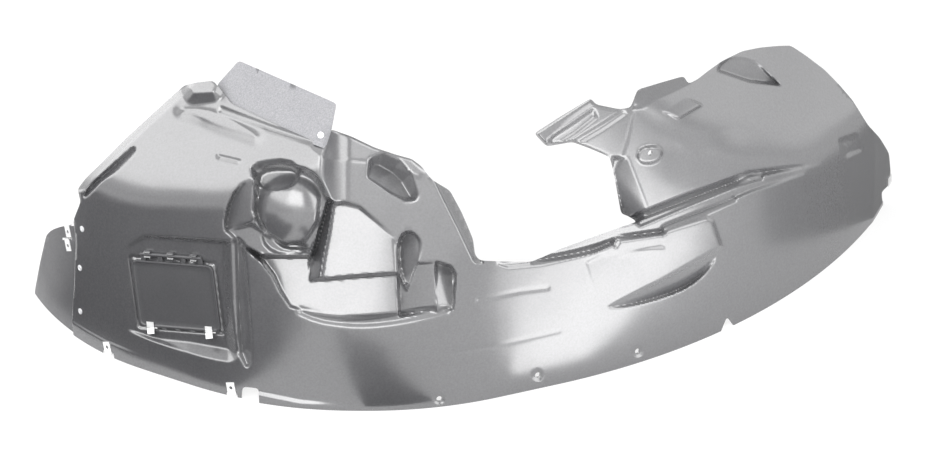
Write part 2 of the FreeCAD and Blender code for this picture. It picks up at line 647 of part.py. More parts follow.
def moulded_form(name, base, inset, margin, surface):
    """A base form with every pocket, ledge and raised part of the moulding."""
    form = base
    slide = heading_vector(size("slide_heading"))
    shelf_lean = math.radians(size("shelf_lean"))
    shelf_slide = Vector(0, -size("shelf_foot") * (math.tan(shelf_lean) - math.tan(LEAN)), 0)
    regions = [
        ("rear_lobe", REAR_LOBE, slide * size("lobe_slide"), LEAN),
        ("rear_ledge", REAR_LEDGE, slide * size("ledge_slide"), LEAN),
        ("shelf", SHELF, shelf_slide, shelf_lean),
    ]
    for label, outline, move, lean in regions:
        block = form_block(f"{name}_{label}_block", inset, move, lean, margin)
        form = boolean("Cut", f"{name}_{label}", form, region_tool(f"{name}_{label}_tool", outline, block, inset))
    flange = plane_cut(
        f"{name}_rear_flange_tool", surface, REAR_FLANGE, REAR_FLANGE_FLOOR, size("rear_flange_fall"), inset)
    form = boolean("Cut", f"{name}_rear_flange", form, flange)
    lip = raised_tool(f"{name}_scoop_lip_tool", surface, SCOOP_LIP, SCOOP_LIP_TOP, size("scoop_lip"), inset)
    form = boolean("Fuse", f"{name}_scoop_lip", form, lip)
    for number, labels in enumerate(POCKET_ROUNDS, start=1):
        tools = document.addObject("Part::Compound", f"{name}_pockets_{number}")
        tools.Links = [
            pocket_tool(f"{name}_{label}_tool", surface, outline, floor, size(depth), inset)
            for label, outline, floor, depth in POCKETS if label in labels
        ]
        form = boolean("Cut", f"{name}_pocketed_{number}", form, tools)
    dome = document.addObject("Part::Sphere", f"{name}_dome_tool")
    bind(dome, {"Radius": f"Sizes.dome_radius - {inset}"})
    dome_level = level_on(surface, *DOME_CENTRE) - size("dome_sink")
    dome.Placement = Placement(to_part(*DOME_CENTRE, dome_level), Rotation())
    raised = [
        ("boss", BOSS, BOSS_TOP, size("boss_height") - size("lobe_setback")),
        ("pyramid", PYRAMID, PYRAMID_TOP, size("pyramid_height")),
        ("hood", HOOD, HOOD_TOP, size("hood_height")),
    ]
    added = [
        raised_tool(f"{name}_{label}_tool", surface, outline, top, height, inset)
        for label, outline, top, height in raised
    ]
    return fused(f"{name}_form", [form, dome, *added])


def box(name, frame, corner, sides):
    """A box in a frame, with its three sides as expressions."""
    part = document.addObject("Part::Box", name)
    bind(part, dict(zip(("Length", "Width", "Height"), sides)))
    part.Placement = frame.multiply(Placement(Vector(*corner), Rotation()))
    return part


def cylinder(name, frame, foot, radius, height, turn=Rotation()):
    """A cylinder in a frame, with its radius and height as expressions."""
    part = document.addObject("Part::Cylinder", name)
    bind(part, {"Radius": radius, "Height": height})
    part.Placement = frame.multiply(Placement(Vector(*foot), turn))
    return part


def small_round(name, frame, foot, radius, height):
    """A small many-sided pin or hole in a frame, with its radius and height as expressions."""
    part = document.addObject("Part::Prism", name)
    bind(part, {"Polygon": "Sizes.small_round_sides", "Circumradius": radius, "Height": height})
    part.Placement = frame.multiply(Placement(Vector(*foot), Rotation()))
    return part


def fused(name, pieces):
    """One object made of several."""
    result = document.addObject("Part::MultiFuse", name)
    result.Shapes = pieces
    return result


def rounded_box(name, frame, corner, sides, radius):
    """A box whose upright edges are rounded."""
    plain = box(name + "_box", frame, corner, sides)
    document.recompute()
    upward = frame.Rotation.multVec(Vector(0, 0, 1))
    result = document.addObject("Part::Fillet", name)
    result.Base = plain
    result.Edges = [
        (number, radius, radius)
        for number, edge in enumerate(plain.Shape.Edges, start=1)
        if abs(edge.tangentAt(edge.FirstParameter).dot(upward)) > 1 - TOUCH
    ]
    return result


def hatch_frame():
    """Frame on the floor of the hatch recess: X along the hinge, Z outwards."""
    plane = cap_plane(surface, HATCH_FLOOR, -size("hatch_recess_depth"), 0)
    normal = plane[0]
    x, v = HATCH_CENTRE
    across = Vector(1, HINGE_SLOPE, -(normal.x + normal.y * HINGE_SLOPE) / normal.z)
    along = to_part(*across).normalize()
    outward = to_part(*normal)
    turn = Rotation(along, outward.cross(along), outward, "ZXY")
    return Placement(to_part(x, v, level_of(plane, x, v)), turn)


def hinge_point():
    """The middle of the hinge axis in the hatch frame."""
    height = size("seat_gap") + size("hinge_bar_radius") + size("hinge_clearance")
    return Vector(0, size("lid_height") / 2 + size("hinge_rise"), height)


def access_lid(frame):
    """The hatch lid: a plate with a raised rim and a hinge bar on webs."""
    width = size("lid_width")
    height = size("lid_height")
    bottom = size("seat_gap")
    rim = size("lid_rim_width")
    corner = size("lid_corner")
    plate = rounded_box(
        "lid_plate", frame, (-width / 2, -height / 2, bottom),
        ("Sizes.lid_width", "Sizes.lid_height", "Sizes.lid_thickness + Sizes.lid_rim"), corner)
    hollow = rounded_box(
        "lid_hollow", frame, (rim - width / 2, rim - height / 2, bottom + size("lid_thickness")),
        ("Sizes.lid_width - 2 * Sizes.lid_rim_width", "Sizes.lid_height - 2 * Sizes.lid_rim_width",
         "Sizes.lid_rim * 2"), corner - rim)
    pieces = [boolean("Cut", "lid_dish", plate, hollow)]
    axis = hinge_point()
    bar_end = axis - Vector(size("hinge_bar_length") / 2, 0, 0)
    pieces.append(cylinder(
        "lid_hinge_bar", frame, bar_end, "Sizes.hinge_bar_radius", "Sizes.hinge_bar_length", ALONG_X))
    near = size("hinge_hook_spacing") / 2
    web = size("hinge_web")
    outer = size("hinge_bar_length") / 2 - web / 2
    for number, middle in enumerate((-outer, -near, near, outer), start=1):
        pieces.append(box(
            f"lid_web_{number}", frame, (middle - web / 2, height / 2 - rim / 2, bottom),
            ("Sizes.hinge_web", "Sizes.hinge_rise + Sizes.lid_rim_width / 2", "Sizes.lid_thickness")))
    return fused("access_lid", pieces)


def hatch_hooks(frame):
    """The shell's three hooks round the hinge bar, before the bore is cut."""
    axis = hinge_point()
    reach = size("hinge_bar_radius") + size("hinge_clearance") + size("hook_wall")
    hooks = []
    for number in (-1, 0, 1):
        end = axis + Vector(number * size("hinge_hook_spacing") - size("hinge_hook_width") / 2, 0, 0)
        hooks.append(cylinder(
            f"hook_{number + 2}", frame, end,
            "Sizes.hinge_bar_radius + Sizes.hinge_clearance + Sizes.hook_wall", "Sizes.hinge_hook_width", ALONG_X))
        hooks.append(box(
            f"hook_foot_{number + 2}", frame, end - Vector(0, reach, axis.z + size("wall") / 2),
            ("Sizes.hinge_hook_width", f"{2 * reach}", f"Sizes.wall / 2 + {axis.z}")))
    return hooks


def hatch_cuts(frame):
    """What is cut out of the shell for the hatch: the opening, the hinge bore and clip slots."""
    axis = hinge_point()
    width = size("lid_width")
    height = size("lid_height")
    margin = size("hatch_margin")
    bore_end = axis - Vector(size("hinge_bar_length") / 2 + 1, 0, 0)
    mouth = size("hinge_bar_radius") * HOOK_MOUTH
    cuts = [
        box("hatch_opening", frame, (margin - width / 2, margin - height / 2, -CUT_REACH),
            ("Sizes.lid_width - 2 * Sizes.hatch_margin", "Sizes.lid_height - 2 * Sizes.hatch_margin",
             f"{2 * CUT_REACH}")),
        cylinder("hinge_bore", frame, bore_end, "Sizes.hinge_bar_radius + Sizes.hinge_clearance",
                 "Sizes.hinge_bar_length + 2", ALONG_X),
        box("hook_mouths", frame, bore_end - Vector(0, mouth, 0),
            ("Sizes.hinge_bar_length + 2", f"Sizes.hinge_bar_radius * {2 * HOOK_MOUTH}", f"{CUT_REACH}")),
    ]
    slack = size("clip_width") / 2 + CLIP_SLACK
    for side in (-1, 1):
        corner = (side * size("clip_spacing") / 2 - slack, -height / 2 - 2 * CLIP_SLACK, -CUT_REACH)
        cuts.append(box(
            f"clip_slot_{side + 2}", frame, corner,
            (f"Sizes.clip_width + {2 * CLIP_SLACK}", f"Sizes.hatch_margin + {3 * CLIP_SLACK}", f"{CUT_REACH + 2}")))
    return cuts


def lid_clip(name, frame, side):
    """Sheet clip over the lid's lower edge, with a finger tab."""
    width = size("clip_width")
    sheet_size = size("clip_sheet")
    gap = size("sheet_clearance")
    thick = size("lid_thickness") + size("lid_rim")
    edge = Vector(side * size("clip_spacing") / 2 - width / 2, -size("lid_height") / 2, size("seat_gap"))
    outer = box(
        name + "_outer", frame, edge - Vector(0, gap + sheet_size, gap + sheet_size),
        ("Sizes.clip_width", "Sizes.clip_reach",
         "Sizes.lid_thickness + Sizes.lid_rim + 2 * (Sizes.sheet_clearance + Sizes.clip_sheet)"))
    inner = box(
        name + "_inner", frame, edge - Vector(1, gap, gap),
        ("Sizes.clip_width + 2", "Sizes.clip_reach + 2",
         "Sizes.lid_thickness + Sizes.lid_rim + 2 * Sizes.sheet_clearance"))
    tab = box(
        name + "_tab", frame, edge + Vector(0, -gap - sheet_size - size("clip_tab"), thick + gap),
        ("Sizes.clip_width", "Sizes.clip_tab + Sizes.clip_sheet", "Sizes.clip_sheet"))
    return fused(name, [boolean("Cut", name + "_bend", outer, inner), tab])


def layer(name, outline, inset, thickness, form):
    """A sheet behind the arch wall inside an outline, inset from the wall's outer side."""
    outer = form(name + "_front", inset, 0)
    inner = form(name + "_back", inset + thickness, OPEN_MARGIN)
    return boolean("Common", name + "_sheet", boolean("Cut", name + "_layer", outer, inner), prism(name + "_reach", outline))


def edge_run(frame, thickness):
    """How far a sheet's edge, cut along the draw, runs out beyond its outer side."""
    draw = frame.Rotation.inverted().multVec(DRAW)
    return max(0.0, -draw.y / draw.z * thickness)


def spring_nut(name, frame, sheet_size, run):
    """U-shaped spring nut over a sheet's edge, and the clearance hole in the sheet.

    The frame lies on the sheet's outer side at its edge, Y out over the edge.
    """
    gap = size("sheet_clearance")
    steel = size("clip_sheet")
    width = size("nut_width")
    reach = size("nut_reach")
    back = size(sheet_size) + gap + steel
    outer = box(
        name + "_outer", frame, (-width / 2, -reach, -back),
        ("Sizes.nut_width", f"Sizes.nut_reach + Sizes.sheet_clearance + Sizes.clip_sheet + {run}",
         f"Sizes.{sheet_size} + 2 * (Sizes.sheet_clearance + Sizes.clip_sheet)"))
    inner = box(
        name + "_inner", frame, (-width / 2 - 1, -reach - 1, -back + steel),
        ("Sizes.nut_width + 2", f"Sizes.nut_reach + Sizes.sheet_clearance + 1 + {run}",
         f"Sizes.{sheet_size} + 2 * Sizes.sheet_clearance"))
    foot = Vector(0, -reach / 2, -back - size("nut_barrel_height"))
    barrel = small_round(name + "_barrel", frame, foot, "Sizes.nut_barrel_radius",
                         "Sizes.nut_barrel_height + Sizes.clip_sheet / 2")
    bore = small_round(name + "_bore", frame, foot - Vector(0, 0, 1), "Sizes.nut_bore_radius",
                       f"Sizes.nut_barrel_height + {2 * CUT_REACH}")
    bend = boolean("Cut", name + "_bend", outer, inner)
    nut = boolean("Cut", name, boolean("Fuse", name + "_body", bend, barrel), bore)
    hole = small_round(
        name + "_hole", frame, (0, -reach / 2, -CUT_REACH), "Sizes.nut_hole_radius", f"{2 * CUT_REACH}")
    return nut, hole


def rivet(name, frame, sheets):
    """Rivet with its axis along Z of a frame on the outer sheet, and its hole."""
    slack = size("rivet_clearance")
    depth = sum(size(alias) for alias in sheets)
    rule = " + ".join(f"Sizes.{alias}" for alias in sheets)
    tail = -depth - slack - size("rivet_tail_height")
    pieces = [
        small_round(name + "_head", frame, (0, 0, slack), "Sizes.rivet_head_radius", "Sizes.rivet_head_height"),
        small_round(name + "_shank", frame, (0, 0, tail), "Sizes.rivet_shank_radius",
                    f"{rule} + 2 * Sizes.rivet_clearance + Sizes.rivet_tail_height + Sizes.rivet_head_height / 2"),
        small_round(name + "_tail", frame, (0, 0, tail), "Sizes.rivet_head_radius - Sizes.rivet_tail_height / 2",
                    "Sizes.rivet_tail_height"),
    ]
    hole = small_round(
        name + "_hole", frame, (0, 0, -CUT_REACH), "Sizes.rivet_shank_radius + Sizes.rivet_clearance",
        f"{2 * CUT_REACH}")
    return fused(name, pieces), hole


def lip_frame(x, height):
    """Frame on the arch wall above the lip: Y down the wall, Z outwards."""
    ray = Part.makeLine(Vector(x, -FAR, height), Vector(x, FAR, height))
    point = min((vertex.Point for vertex in surface.common(ray).Vertexes), key=lambda item: item.y)
    face = min(surface.Faces, key=lambda item: item.distToShape(Part.Vertex(point))[0])
    normal = face.normalAt(*face.Surface.parameter(point))
    down = RISE * -1
    return Placement(point, Rotation(down.cross(normal), down, normal, "ZXY"))


def outward_frame(solid, x, v):
    """Frame on a solid's surface: Y towards the rear end, Z outwards."""
    upward = surface_frame(solid, x, v)
    normal = upward.Rotation.multVec(Vector(0, 0, 1))
    across = Vector(1, 0, 0) - normal * normal.x
    return Placement(upward.Base, Rotation(across.cross(normal), across, normal, "ZXY"))


def drilled(name, frame, radius):
    """Cylinder that drills a hole through a sheet at a frame."""
    return cylinder(name, frame, (0, 0, -CUT_REACH), f"Sizes.{radius}", f"{2 * CUT_REACH}")


surface_block = form_block("surface_block", 0)
document.recompute()
wall_surface = surface_block.Shape
SHOULDERS = [
    ("front", shoulder_plane(wall_surface, FRONT_CREASE, size("front_top_lean")), FRONT_CREASE),
    ("rear", shoulder_plane(wall_surface, REAR_CREASE, size("rear_top_lean")), REAR_CREASE),
]
outer_base = base_form("outer", 0, SHOULDERS, 0)
surface = outer_base.Shape
inner_base = base_form("inner", size("wall"), SHOULDERS, OPEN_MARGIN)
outer_form = moulded_form("outer", outer_base, 0, 0, surface)
inner_form = moulded_form("inner", inner_base, size("wall"), OPEN_MARGIN, surface)
shell_form = boolean("Cut", "shell_form", outer_form, inner_form)
draw_plane = Placement(Vector(), Rotation(Vector(1, 0, 0), DRAW_UP, DRAW, "ZXY"))
outline_sketch = sketch("shell_outline", closed_path(SHELL_OUTLINE), draw_plane)
outline_prism = extruded("shell_outline_prism", outline_sketch, DRAW, str(FAR), str(FAR))
plain_shell = boolean("Common", "plain_shell", shell_form, outline_prism)
document.recompute()
moulded = outer_form.Shape

# The hatch: a lid on a hinge bar that turns in three hooks of the shell.
hatch = hatch_frame()
shell_cuts = hatch_cuts(hatch)
pieces = {
    "access_lid": access_lid(hatch),
    "lid_clip_left": lid_clip("lid_clip_left", hatch, -1),
    "lid_clip_right": lid_clip("lid_clip_right", hatch, 1),
}

# The flap at the front end and the seal strip at the rim lie behind the shell.
inset = size("wall") + size("seat_gap")
flap_sheet = layer("front_flap", FRONT_FLAP_OUTLINE, inset, size("flap_thickness"),
                   lambda name, depth, margin: form_block(name, depth, margin=margin))
seal_sheet = layer("seal_flap", SEAL_OUTLINE, inset, size("seal_thickness"),
                   lambda name, depth, margin: base_form(name, depth, SHOULDERS, margin))
document.recompute()
flap_cuts = []
seal_cuts = []

# Spring nuts over the flap's top edge, its slot, the lip and the rear edge.
upper_edge = surface_frame(flap_sheet.Shape, *UPPER_NUT_EDGE)
lower_edge = surface_frame(flap_sheet.Shape, *LOWER_NUT_EDGE)
flap_cuts.append(box(
    "flap_slot", lower_edge, (-size("nut_width") / 2 - 2, 0, -CUT_REACH),
    ("Sizes.nut_width + 4", "Sizes.flap_slot_height", f"{2 * CUT_REACH}")))
for name, frame in (("side_nut_upper", upper_edge), ("side_nut_lower", lower_edge)):
    pieces[name], hole = spring_nut(name, frame, "flap_thickness", edge_run(frame, size("flap_thickness")))
    flap_cuts.append(hole)
for name, x in zip(("lip_nut_front", "lip_nut_middle"), LIP_NUTS):
    frame = lip_frame(x, size("lip_nut_height"))
    pieces[name], hole = spring_nut(name, frame, "wall", 0)
    notch = box(
        name + "_notch", frame, (-size("nut_width") / 2 - 1, 0, -CUT_REACH),
        ("Sizes.nut_width + 2", "Sizes.lip_nut_height * 3", f"{2 * CUT_REACH}"))
    shell_cuts += [hole, notch]
rear_edge = outward_frame(moulded, *REAR_CLIP_EDGE)
pieces["rear_clip"], hole = spring_nut("rear_clip", rear_edge, "wall", edge_run(rear_edge, size("wall")))
shell_cuts.append(hole)

# Rivets through the shell and the sheet behind it.
for number, place in enumerate(FLAP_RIVETS, start=1):
    name = f"flap_rivet_{number}"
    pieces[name], hole = rivet(name, surface_frame(surface, *place), ("wall", "seat_gap", "flap_thickness"))
    shell_cuts.append(hole)
    flap_cuts.append(hole)
pieces["seal_rivet"], hole = rivet(
    "seal_rivet", surface_frame(surface, *SEAL_RIVET), ("wall", "seat_gap", "seal_thickness"))
shell_cuts.append(hole)
seal_cuts.append(hole)

# Screw holes along the lip, in the boss and beside the corner pocket, and the two lip notches.
for number, place in enumerate(LIP_SCREWS, start=1):
    shell_cuts.append(drilled(f"lip_hole_{number}", surface_frame(moulded, *place), "lip_hole_radius"))
shell_cuts.append(drilled("boss_hole", surface_frame(moulded, *BOSS_CENTRE), "boss_hole_radius"))
shell_cuts.append(small_round(
    "vent", surface_frame(moulded, *VENT), (0, 0, -CUT_REACH), "Sizes.vent_radius", f"{2 * CUT_REACH}"))
shell_cuts.append(prism("lip_notch", LIP_NOTCH))
shell_cuts.append(prism("rear_notch", REAR_NOTCH))

hooked_shell = fused("hooked_shell", [plain_shell, *hatch_hooks(hatch)])
pieces["liner_shell"] = boolean("Cut", "liner_shell", hooked_shell, fused("shell_cuts", shell_cuts))
pieces["front_flap"] = boolean("Cut", "front_flap", flap_sheet, fused("flap_cuts", flap_cuts))
pieces["seal_flap"] = boolean("Cut", "seal_flap", seal_sheet, seal_cuts[0])
document.recompute()

# The whole part is set with the middle of its foot at the origin.
extent = Part.makeCompound([piece.Shape for piece in pieces.values()]).optimalBoundingBox()
shift = Placement(Vector(-extent.Center.x, -extent.Center.y, -extent.ZMin), Rotation())
for name, piece in pieces.items():
    piece.Label = name
    piece.Placement = shift.multiply(piece.Placement)
document.recompute()
for item in document.Objects:
    if "Invalid" in item.State or "Error" in item.State:
        raise RuntimeError(f"{item.Label} could not be built: {item.State}")
os.makedirs("parts", exist_ok=True)
for name, piece in pieces.items():
    if piece.Shape.isNull() or not piece.Shape.isValid() or not piece.Shape.Solids:
        raise RuntimeError(f"{name} has no valid shape")
    piece.Shape.exportStep(f"parts/{name}.step")
    size_text = " x ".join(f"{length:.1f}" for length in (
        piece.Shape.BoundBox.XLength, piece.Shape.BoundBox.YLength, piece.Shape.BoundBox.ZLength))
    print(f"{name}: {len(piece.Shape.Solids)} solid, {size_text} mm")
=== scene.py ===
"""The look of a moulded wheel arch liner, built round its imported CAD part.

The shell is a moulding, so every form on it is a height along one direction, the
draw, above the draw plane. Places on it are read in the picture, which looks along
the draw, as columns and rows, and are turned to millimetres of the draw plane.
"""
import logging
import math
from dataclasses import dataclass
from enum import Enum
from typing import Optional, Sequence

import bmesh
import bpy
import numpy as np
from mathutils import Matrix, Vector
from mathutils.geometry import delaunay_2d_cdt


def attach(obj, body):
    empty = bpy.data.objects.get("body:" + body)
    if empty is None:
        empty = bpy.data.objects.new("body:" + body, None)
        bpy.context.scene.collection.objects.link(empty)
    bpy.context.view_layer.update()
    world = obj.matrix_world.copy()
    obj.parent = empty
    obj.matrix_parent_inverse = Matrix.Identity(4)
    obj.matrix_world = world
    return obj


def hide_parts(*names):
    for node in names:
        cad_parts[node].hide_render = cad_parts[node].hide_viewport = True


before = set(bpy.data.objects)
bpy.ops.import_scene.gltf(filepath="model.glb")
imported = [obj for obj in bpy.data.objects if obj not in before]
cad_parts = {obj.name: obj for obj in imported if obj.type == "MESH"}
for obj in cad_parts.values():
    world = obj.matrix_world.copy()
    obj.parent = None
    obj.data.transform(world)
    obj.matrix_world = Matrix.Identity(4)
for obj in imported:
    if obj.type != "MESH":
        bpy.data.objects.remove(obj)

log = logging.getLogger("liner")

Point = tuple[float, float]
Spot = tuple[float, float, float]
Pixels = Sequence[Point]
Array = np.ndarray
Piece = bpy.types.Object
Socket = bpy.types.NodeSocket
Tree = bpy.types.NodeTree

MM = 0.001
PIXEL = 1.15
MIDDLE_COLUMN = 475.0
LIP_ROW = 410.5
DRAW_ELEVATION = math.radians(30.0)
UP = math.sin(DRAW_ELEVATION)
ACROSS = math.cos(DRAW_ELEVATION)
PART_SHIFT = (10.561, -264.735)
SHEET = 2.5
SEAT_GAP = 0.3
EDGE_SPACING = 2.3
FLOOR_ROUNDS = 30
SOFTENING_ROUNDS = 3
CORNER_CUT = 0.25
TINY = 1e-12
SAME_PLACE = 1e-7
NOISE_ENDS = (0.3, 0.7)
ROUND_SIDES = 24
WIRE_SIDES = 10
BODY = "liner"
HATCH = "hatch"
RIVET_NODES = ("flap_rivet_1", "flap_rivet_2", "flap_rivet_3", "seal_rivet")
NUT_NODES = ("side_nut_upper", "side_nut_lower", "lip_nut_front", "lip_nut_middle", "rear_clip")
CLIP_NODES = ("lid_clip_left", "lid_clip_right")


def place(column: float, row: float) -> Point:
    """The draw-plane point, in mm, seen at a column and row of the picture."""
    return (column - MIDDLE_COLUMN) * PIXEL, (LIP_ROW - row) * PIXEL


def placed(pixels: Pixels) -> Array:
    """The draw-plane points, in mm, of places of the picture."""
    return np.array([place(*pixel) for pixel in pixels])


def to_part(x: Array, v: Array, w: Array) -> Array:
    """Points of the draw frame, in mm, as points of the part's frame in metres."""
    points = np.stack([x + PART_SHIFT[0], v * UP - w * ACROSS + PART_SHIFT[1], v * ACROSS + w * UP], -1)
    return points * MM


def direction(x: float, v: float, w: float) -> Vector:
    """Unit direction in the part's frame of a direction of the draw frame."""
    return Vector(to_part(x, v, w) - to_part(0.0, 0.0, 0.0)).normalized()


def frame_at(origin: Array, y_axis: Vector, z_axis: Vector) -> Matrix:
    """Frame in the part's frame, in metres, from its origin and two of its axes."""
    turn = Matrix((y_axis.cross(z_axis), y_axis, z_axis)).transposed().to_4x4()
    return Matrix.Translation(Vector(origin)) @ turn


def on_draw_plane(turn: Matrix, x: float, y: float) -> Point:
    """The draw-plane point of a place, in mm, on the floor of a frame of the part."""
    point = turn @ Vector((x * MM, y * MM, 0)) / MM
    return point.x - PART_SHIFT[0], (point.y - PART_SHIFT[1]) * UP + point.z * ACROSS


def plane_through(spots: Sequence[Spot]) -> Array:
    """The plane w = a x + b v + c through three points of the draw frame, as a, b and c."""
    return np.linalg.solve([[x, v, 1.0] for x, v, _ in spots], [w for *_, w in spots])


def smooth(share: Array) -> Array:
    """A soft step from 0 to 1."""
    share = np.clip(share, 0, 1)
    return share * share * (3 - 2 * share)


def soft_minimum(first: Array, second: Array, blend: float) -> Array:
    """The lower of two heights, with a rounded join of the given width."""
    share = np.clip(0.5 + 0.5 * (second - first) / blend, 0, 1)
    return second + (first - second) * share - blend * share * (1 - share)


def softened(values: Array, axis: int = 0) -> Array:
    """Every value moved halfway to the mean of its two neighbours along an axis."""
    return values * 0.5 + (np.roll(values, 1, axis) + np.roll(values, -1, axis)) * 0.25


def signed_distance(outline: Sequence[Point], x: Array, v: Array) -> Array:
    """Distance to an outline in mm, positive inside it.

    Args:
        outline: corners of a closed outline.
        x, v: places in the same plane.

    Returns:
        The distances, negative outside.
    """
    nearest = np.full(np.shape(x), np.inf)
    inside = np.zeros(np.shape(x), bool)
    for (ax, av), (bx, bv) in zip(outline, [*outline[1:], outline[0]]):
        ex, ev = bx - ax, bv - av
        along = np.clip(((x - ax) * ex + (v - av) * ev) / (ex * ex + ev * ev + TINY), 0, 1)
        nearest = np.minimum(nearest, (x - ax - along * ex) ** 2 + (v - av - along * ev) ** 2)
        if av != bv:
            inside ^= ((av > v) != (bv > v)) & (x < (bx - ax) * (v - av) / (bv - av) + ax)
    distance = np.sqrt(nearest)
    return np.where(inside, distance, -distance)


@dataclass(frozen=True)
class ArchWall:
    """The arch wall: a band that follows the lip's plan curve and leans back."""

    crown_radius: float = 380.0
    crown_x: float = -123.0
    front_angle: float = math.radians(32.4)
    front_run: float = 50.0
    front_end_radius: float = 350.0
    middle_angle: float = math.radians(23.3)
    middle_run: float = 72.0
    rear_radius: float = 700.0
    lean: float = math.radians(5.0)
    steepest_front: float = 0.97
    steepest_rear: float = 0.995

    def plan_depth(self, x: Array) -> Array:
        """How far the lip lies behind its crown at each x, in mm.

        Args:
            x: places along the draw plane.

        Returns:
            The depths at those places.
        """
        radius, crown = self.crown_radius, self.crown_x
        front_sin, front_cos = math.sin(self.front_angle), math.cos(self.front_angle)
        middle_sin, middle_cos = math.sin(self.middle_angle), math.cos(self.middle_angle)
        front_x, front_y = crown - radius * front_sin, radius * (1 - front_cos)
        middle_x, middle_y = crown + radius * middle_sin, radius * (1 - middle_cos)
        rear_x, rear_y = middle_x + self.middle_run * middle_cos, middle_y + self.middle_run * middle_sin
        end_x, end_y = front_x - self.front_run * front_cos, front_y + self.front_run * front_sin
        end_turn = np.clip(front_sin + (end_x - x) / self.front_end_radius, -1, self.steepest_front)
        end = end_y + self.front_end_radius * (front_cos - np.sqrt(1 - end_turn**2))
        rear_turn = np.clip(middle_sin + (x - rear_x) / self.rear_radius, -1, self.steepest_rear)
        rear = rear_y + self.rear_radius * (middle_cos - np.sqrt(1 - rear_turn**2))
        arc = radius - np.sqrt(np.maximum(radius**2 - (x - crown) ** 2, 0))
        front = front_y + (front_x - x) * math.tan(self.front_angle)
        middle = middle_y + (x - middle_x) * math.tan(self.middle_angle)
        return np.select(
            [x < end_x, x < front_x, x <= middle_x, x <= rear_x], [end, front, arc, middle], rear)

    def level(self, x: Array, v: Array) -> Array:
        """Height of the wall along the draw, in mm."""
        slope = math.tan(self.lean)
        return (v * (UP - ACROSS * slope) - self.plan_depth(x)) / (ACROSS + UP * slope)


class Mode(Enum):
    """How a form changes the surface.

    A laid form takes its whole outline and meets the rest in a narrow step. A sunk or raised
    form has sloped sides that run out to where they meet the rest.
    """

    LAID = "laid"
    SUNK = "sunk"
    RAISED = "raised"


@dataclass(frozen=True)
class Form:
    """A pocket, ledge or rib: an outline, and how far its floor lies above the ground.

    The floor is one height, or three places (column, row, height) that a plane goes
    through. The ground is the plain arch wall, or the surface as it is so far. A form
    with fade columns loses its height between them. Edge is the width of its rounded
    rim, slope how steep its sides are, and rounds how often its corners are cut.
    """

    name: str
    outline: Pixels
    floor: float | Sequence[Spot]
    edge: float
    on_wall: bool = False
    mode: Mode = Mode.LAID
    fade: Optional[Point] = None
    slope: float = 1.6
    rounds: int = 0

    def placed_outline(self) -> Array:
        """The outline in mm of the draw plane, with its corners cut as often as the form asks.

        Returns:
            The outline's points, one row each.
        """
        points = placed(self.outline)
        for _ in range(self.rounds):
            following = np.roll(points, -1, 0)
            near, far = 1 - CORNER_CUT, CORNER_CUT
            pairs = np.stack([points * near + following * far, points * far + following * near], 1)
            points = pairs.reshape(-1, 2)
        return points

    def heights(self, x: Array, v: Array) -> Array:
        """The floor's height above the ground, in mm.

        Args:
            x, v: places of the draw plane.

        Returns:
            The floor's height at each place.
        """
        if isinstance(self.floor, (int, float)):
            lift = np.full(np.shape(x), float(self.floor))
        else:
            a, b, c = plane_through([(*place(column, row), height) for column, row, height in self.floor])
            lift = a * x + b * v + c
        if self.fade:
            first, last = (place(column, 0)[0] for column in self.fade)
            lift = lift * (1 - smooth((x - first) / (last - first)))
        return lift


@dataclass(frozen=True)
class Shoulder:
    """Where the side wall leans back from a crease, with a rounded join.

    The crease goes through two places of the picture. Past the end column, on the given side,
    the leaning wall is lifted out of the way: slowly over the run-out, then by rise per mm.
    """

    first: Point
    second: Point
    lean: float
    blend: float
    end_column: float
    side: int
    rise: float = 3.0
    run_out: float = 40.0

    def level(self, wall: ArchWall, x: Array, v: Array) -> Array:
        """Height of the leaning side wall, in mm.

        Args:
            wall: the arch wall that the crease lies on.
            x, v: places of the draw plane.

        Returns:
            The height at each place.
        """
        (x1, v1), (x2, v2) = place(*self.first), place(*self.second)
        w1, w2 = wall.level(x1, v1), wall.level(x2, v2)
        rise = math.tan(DRAW_ELEVATION - math.radians(self.lean))
        run = (w2 - w1 - rise * (v2 - v1)) / (x2 - x1)
        past = np.maximum(0, self.side * (x - place(self.end_column, 0)[0]))
        lift = np.minimum(past, past * past / self.run_out)
        return w1 + run * (x - x1) + rise * (v - v1) + lift * self.rise


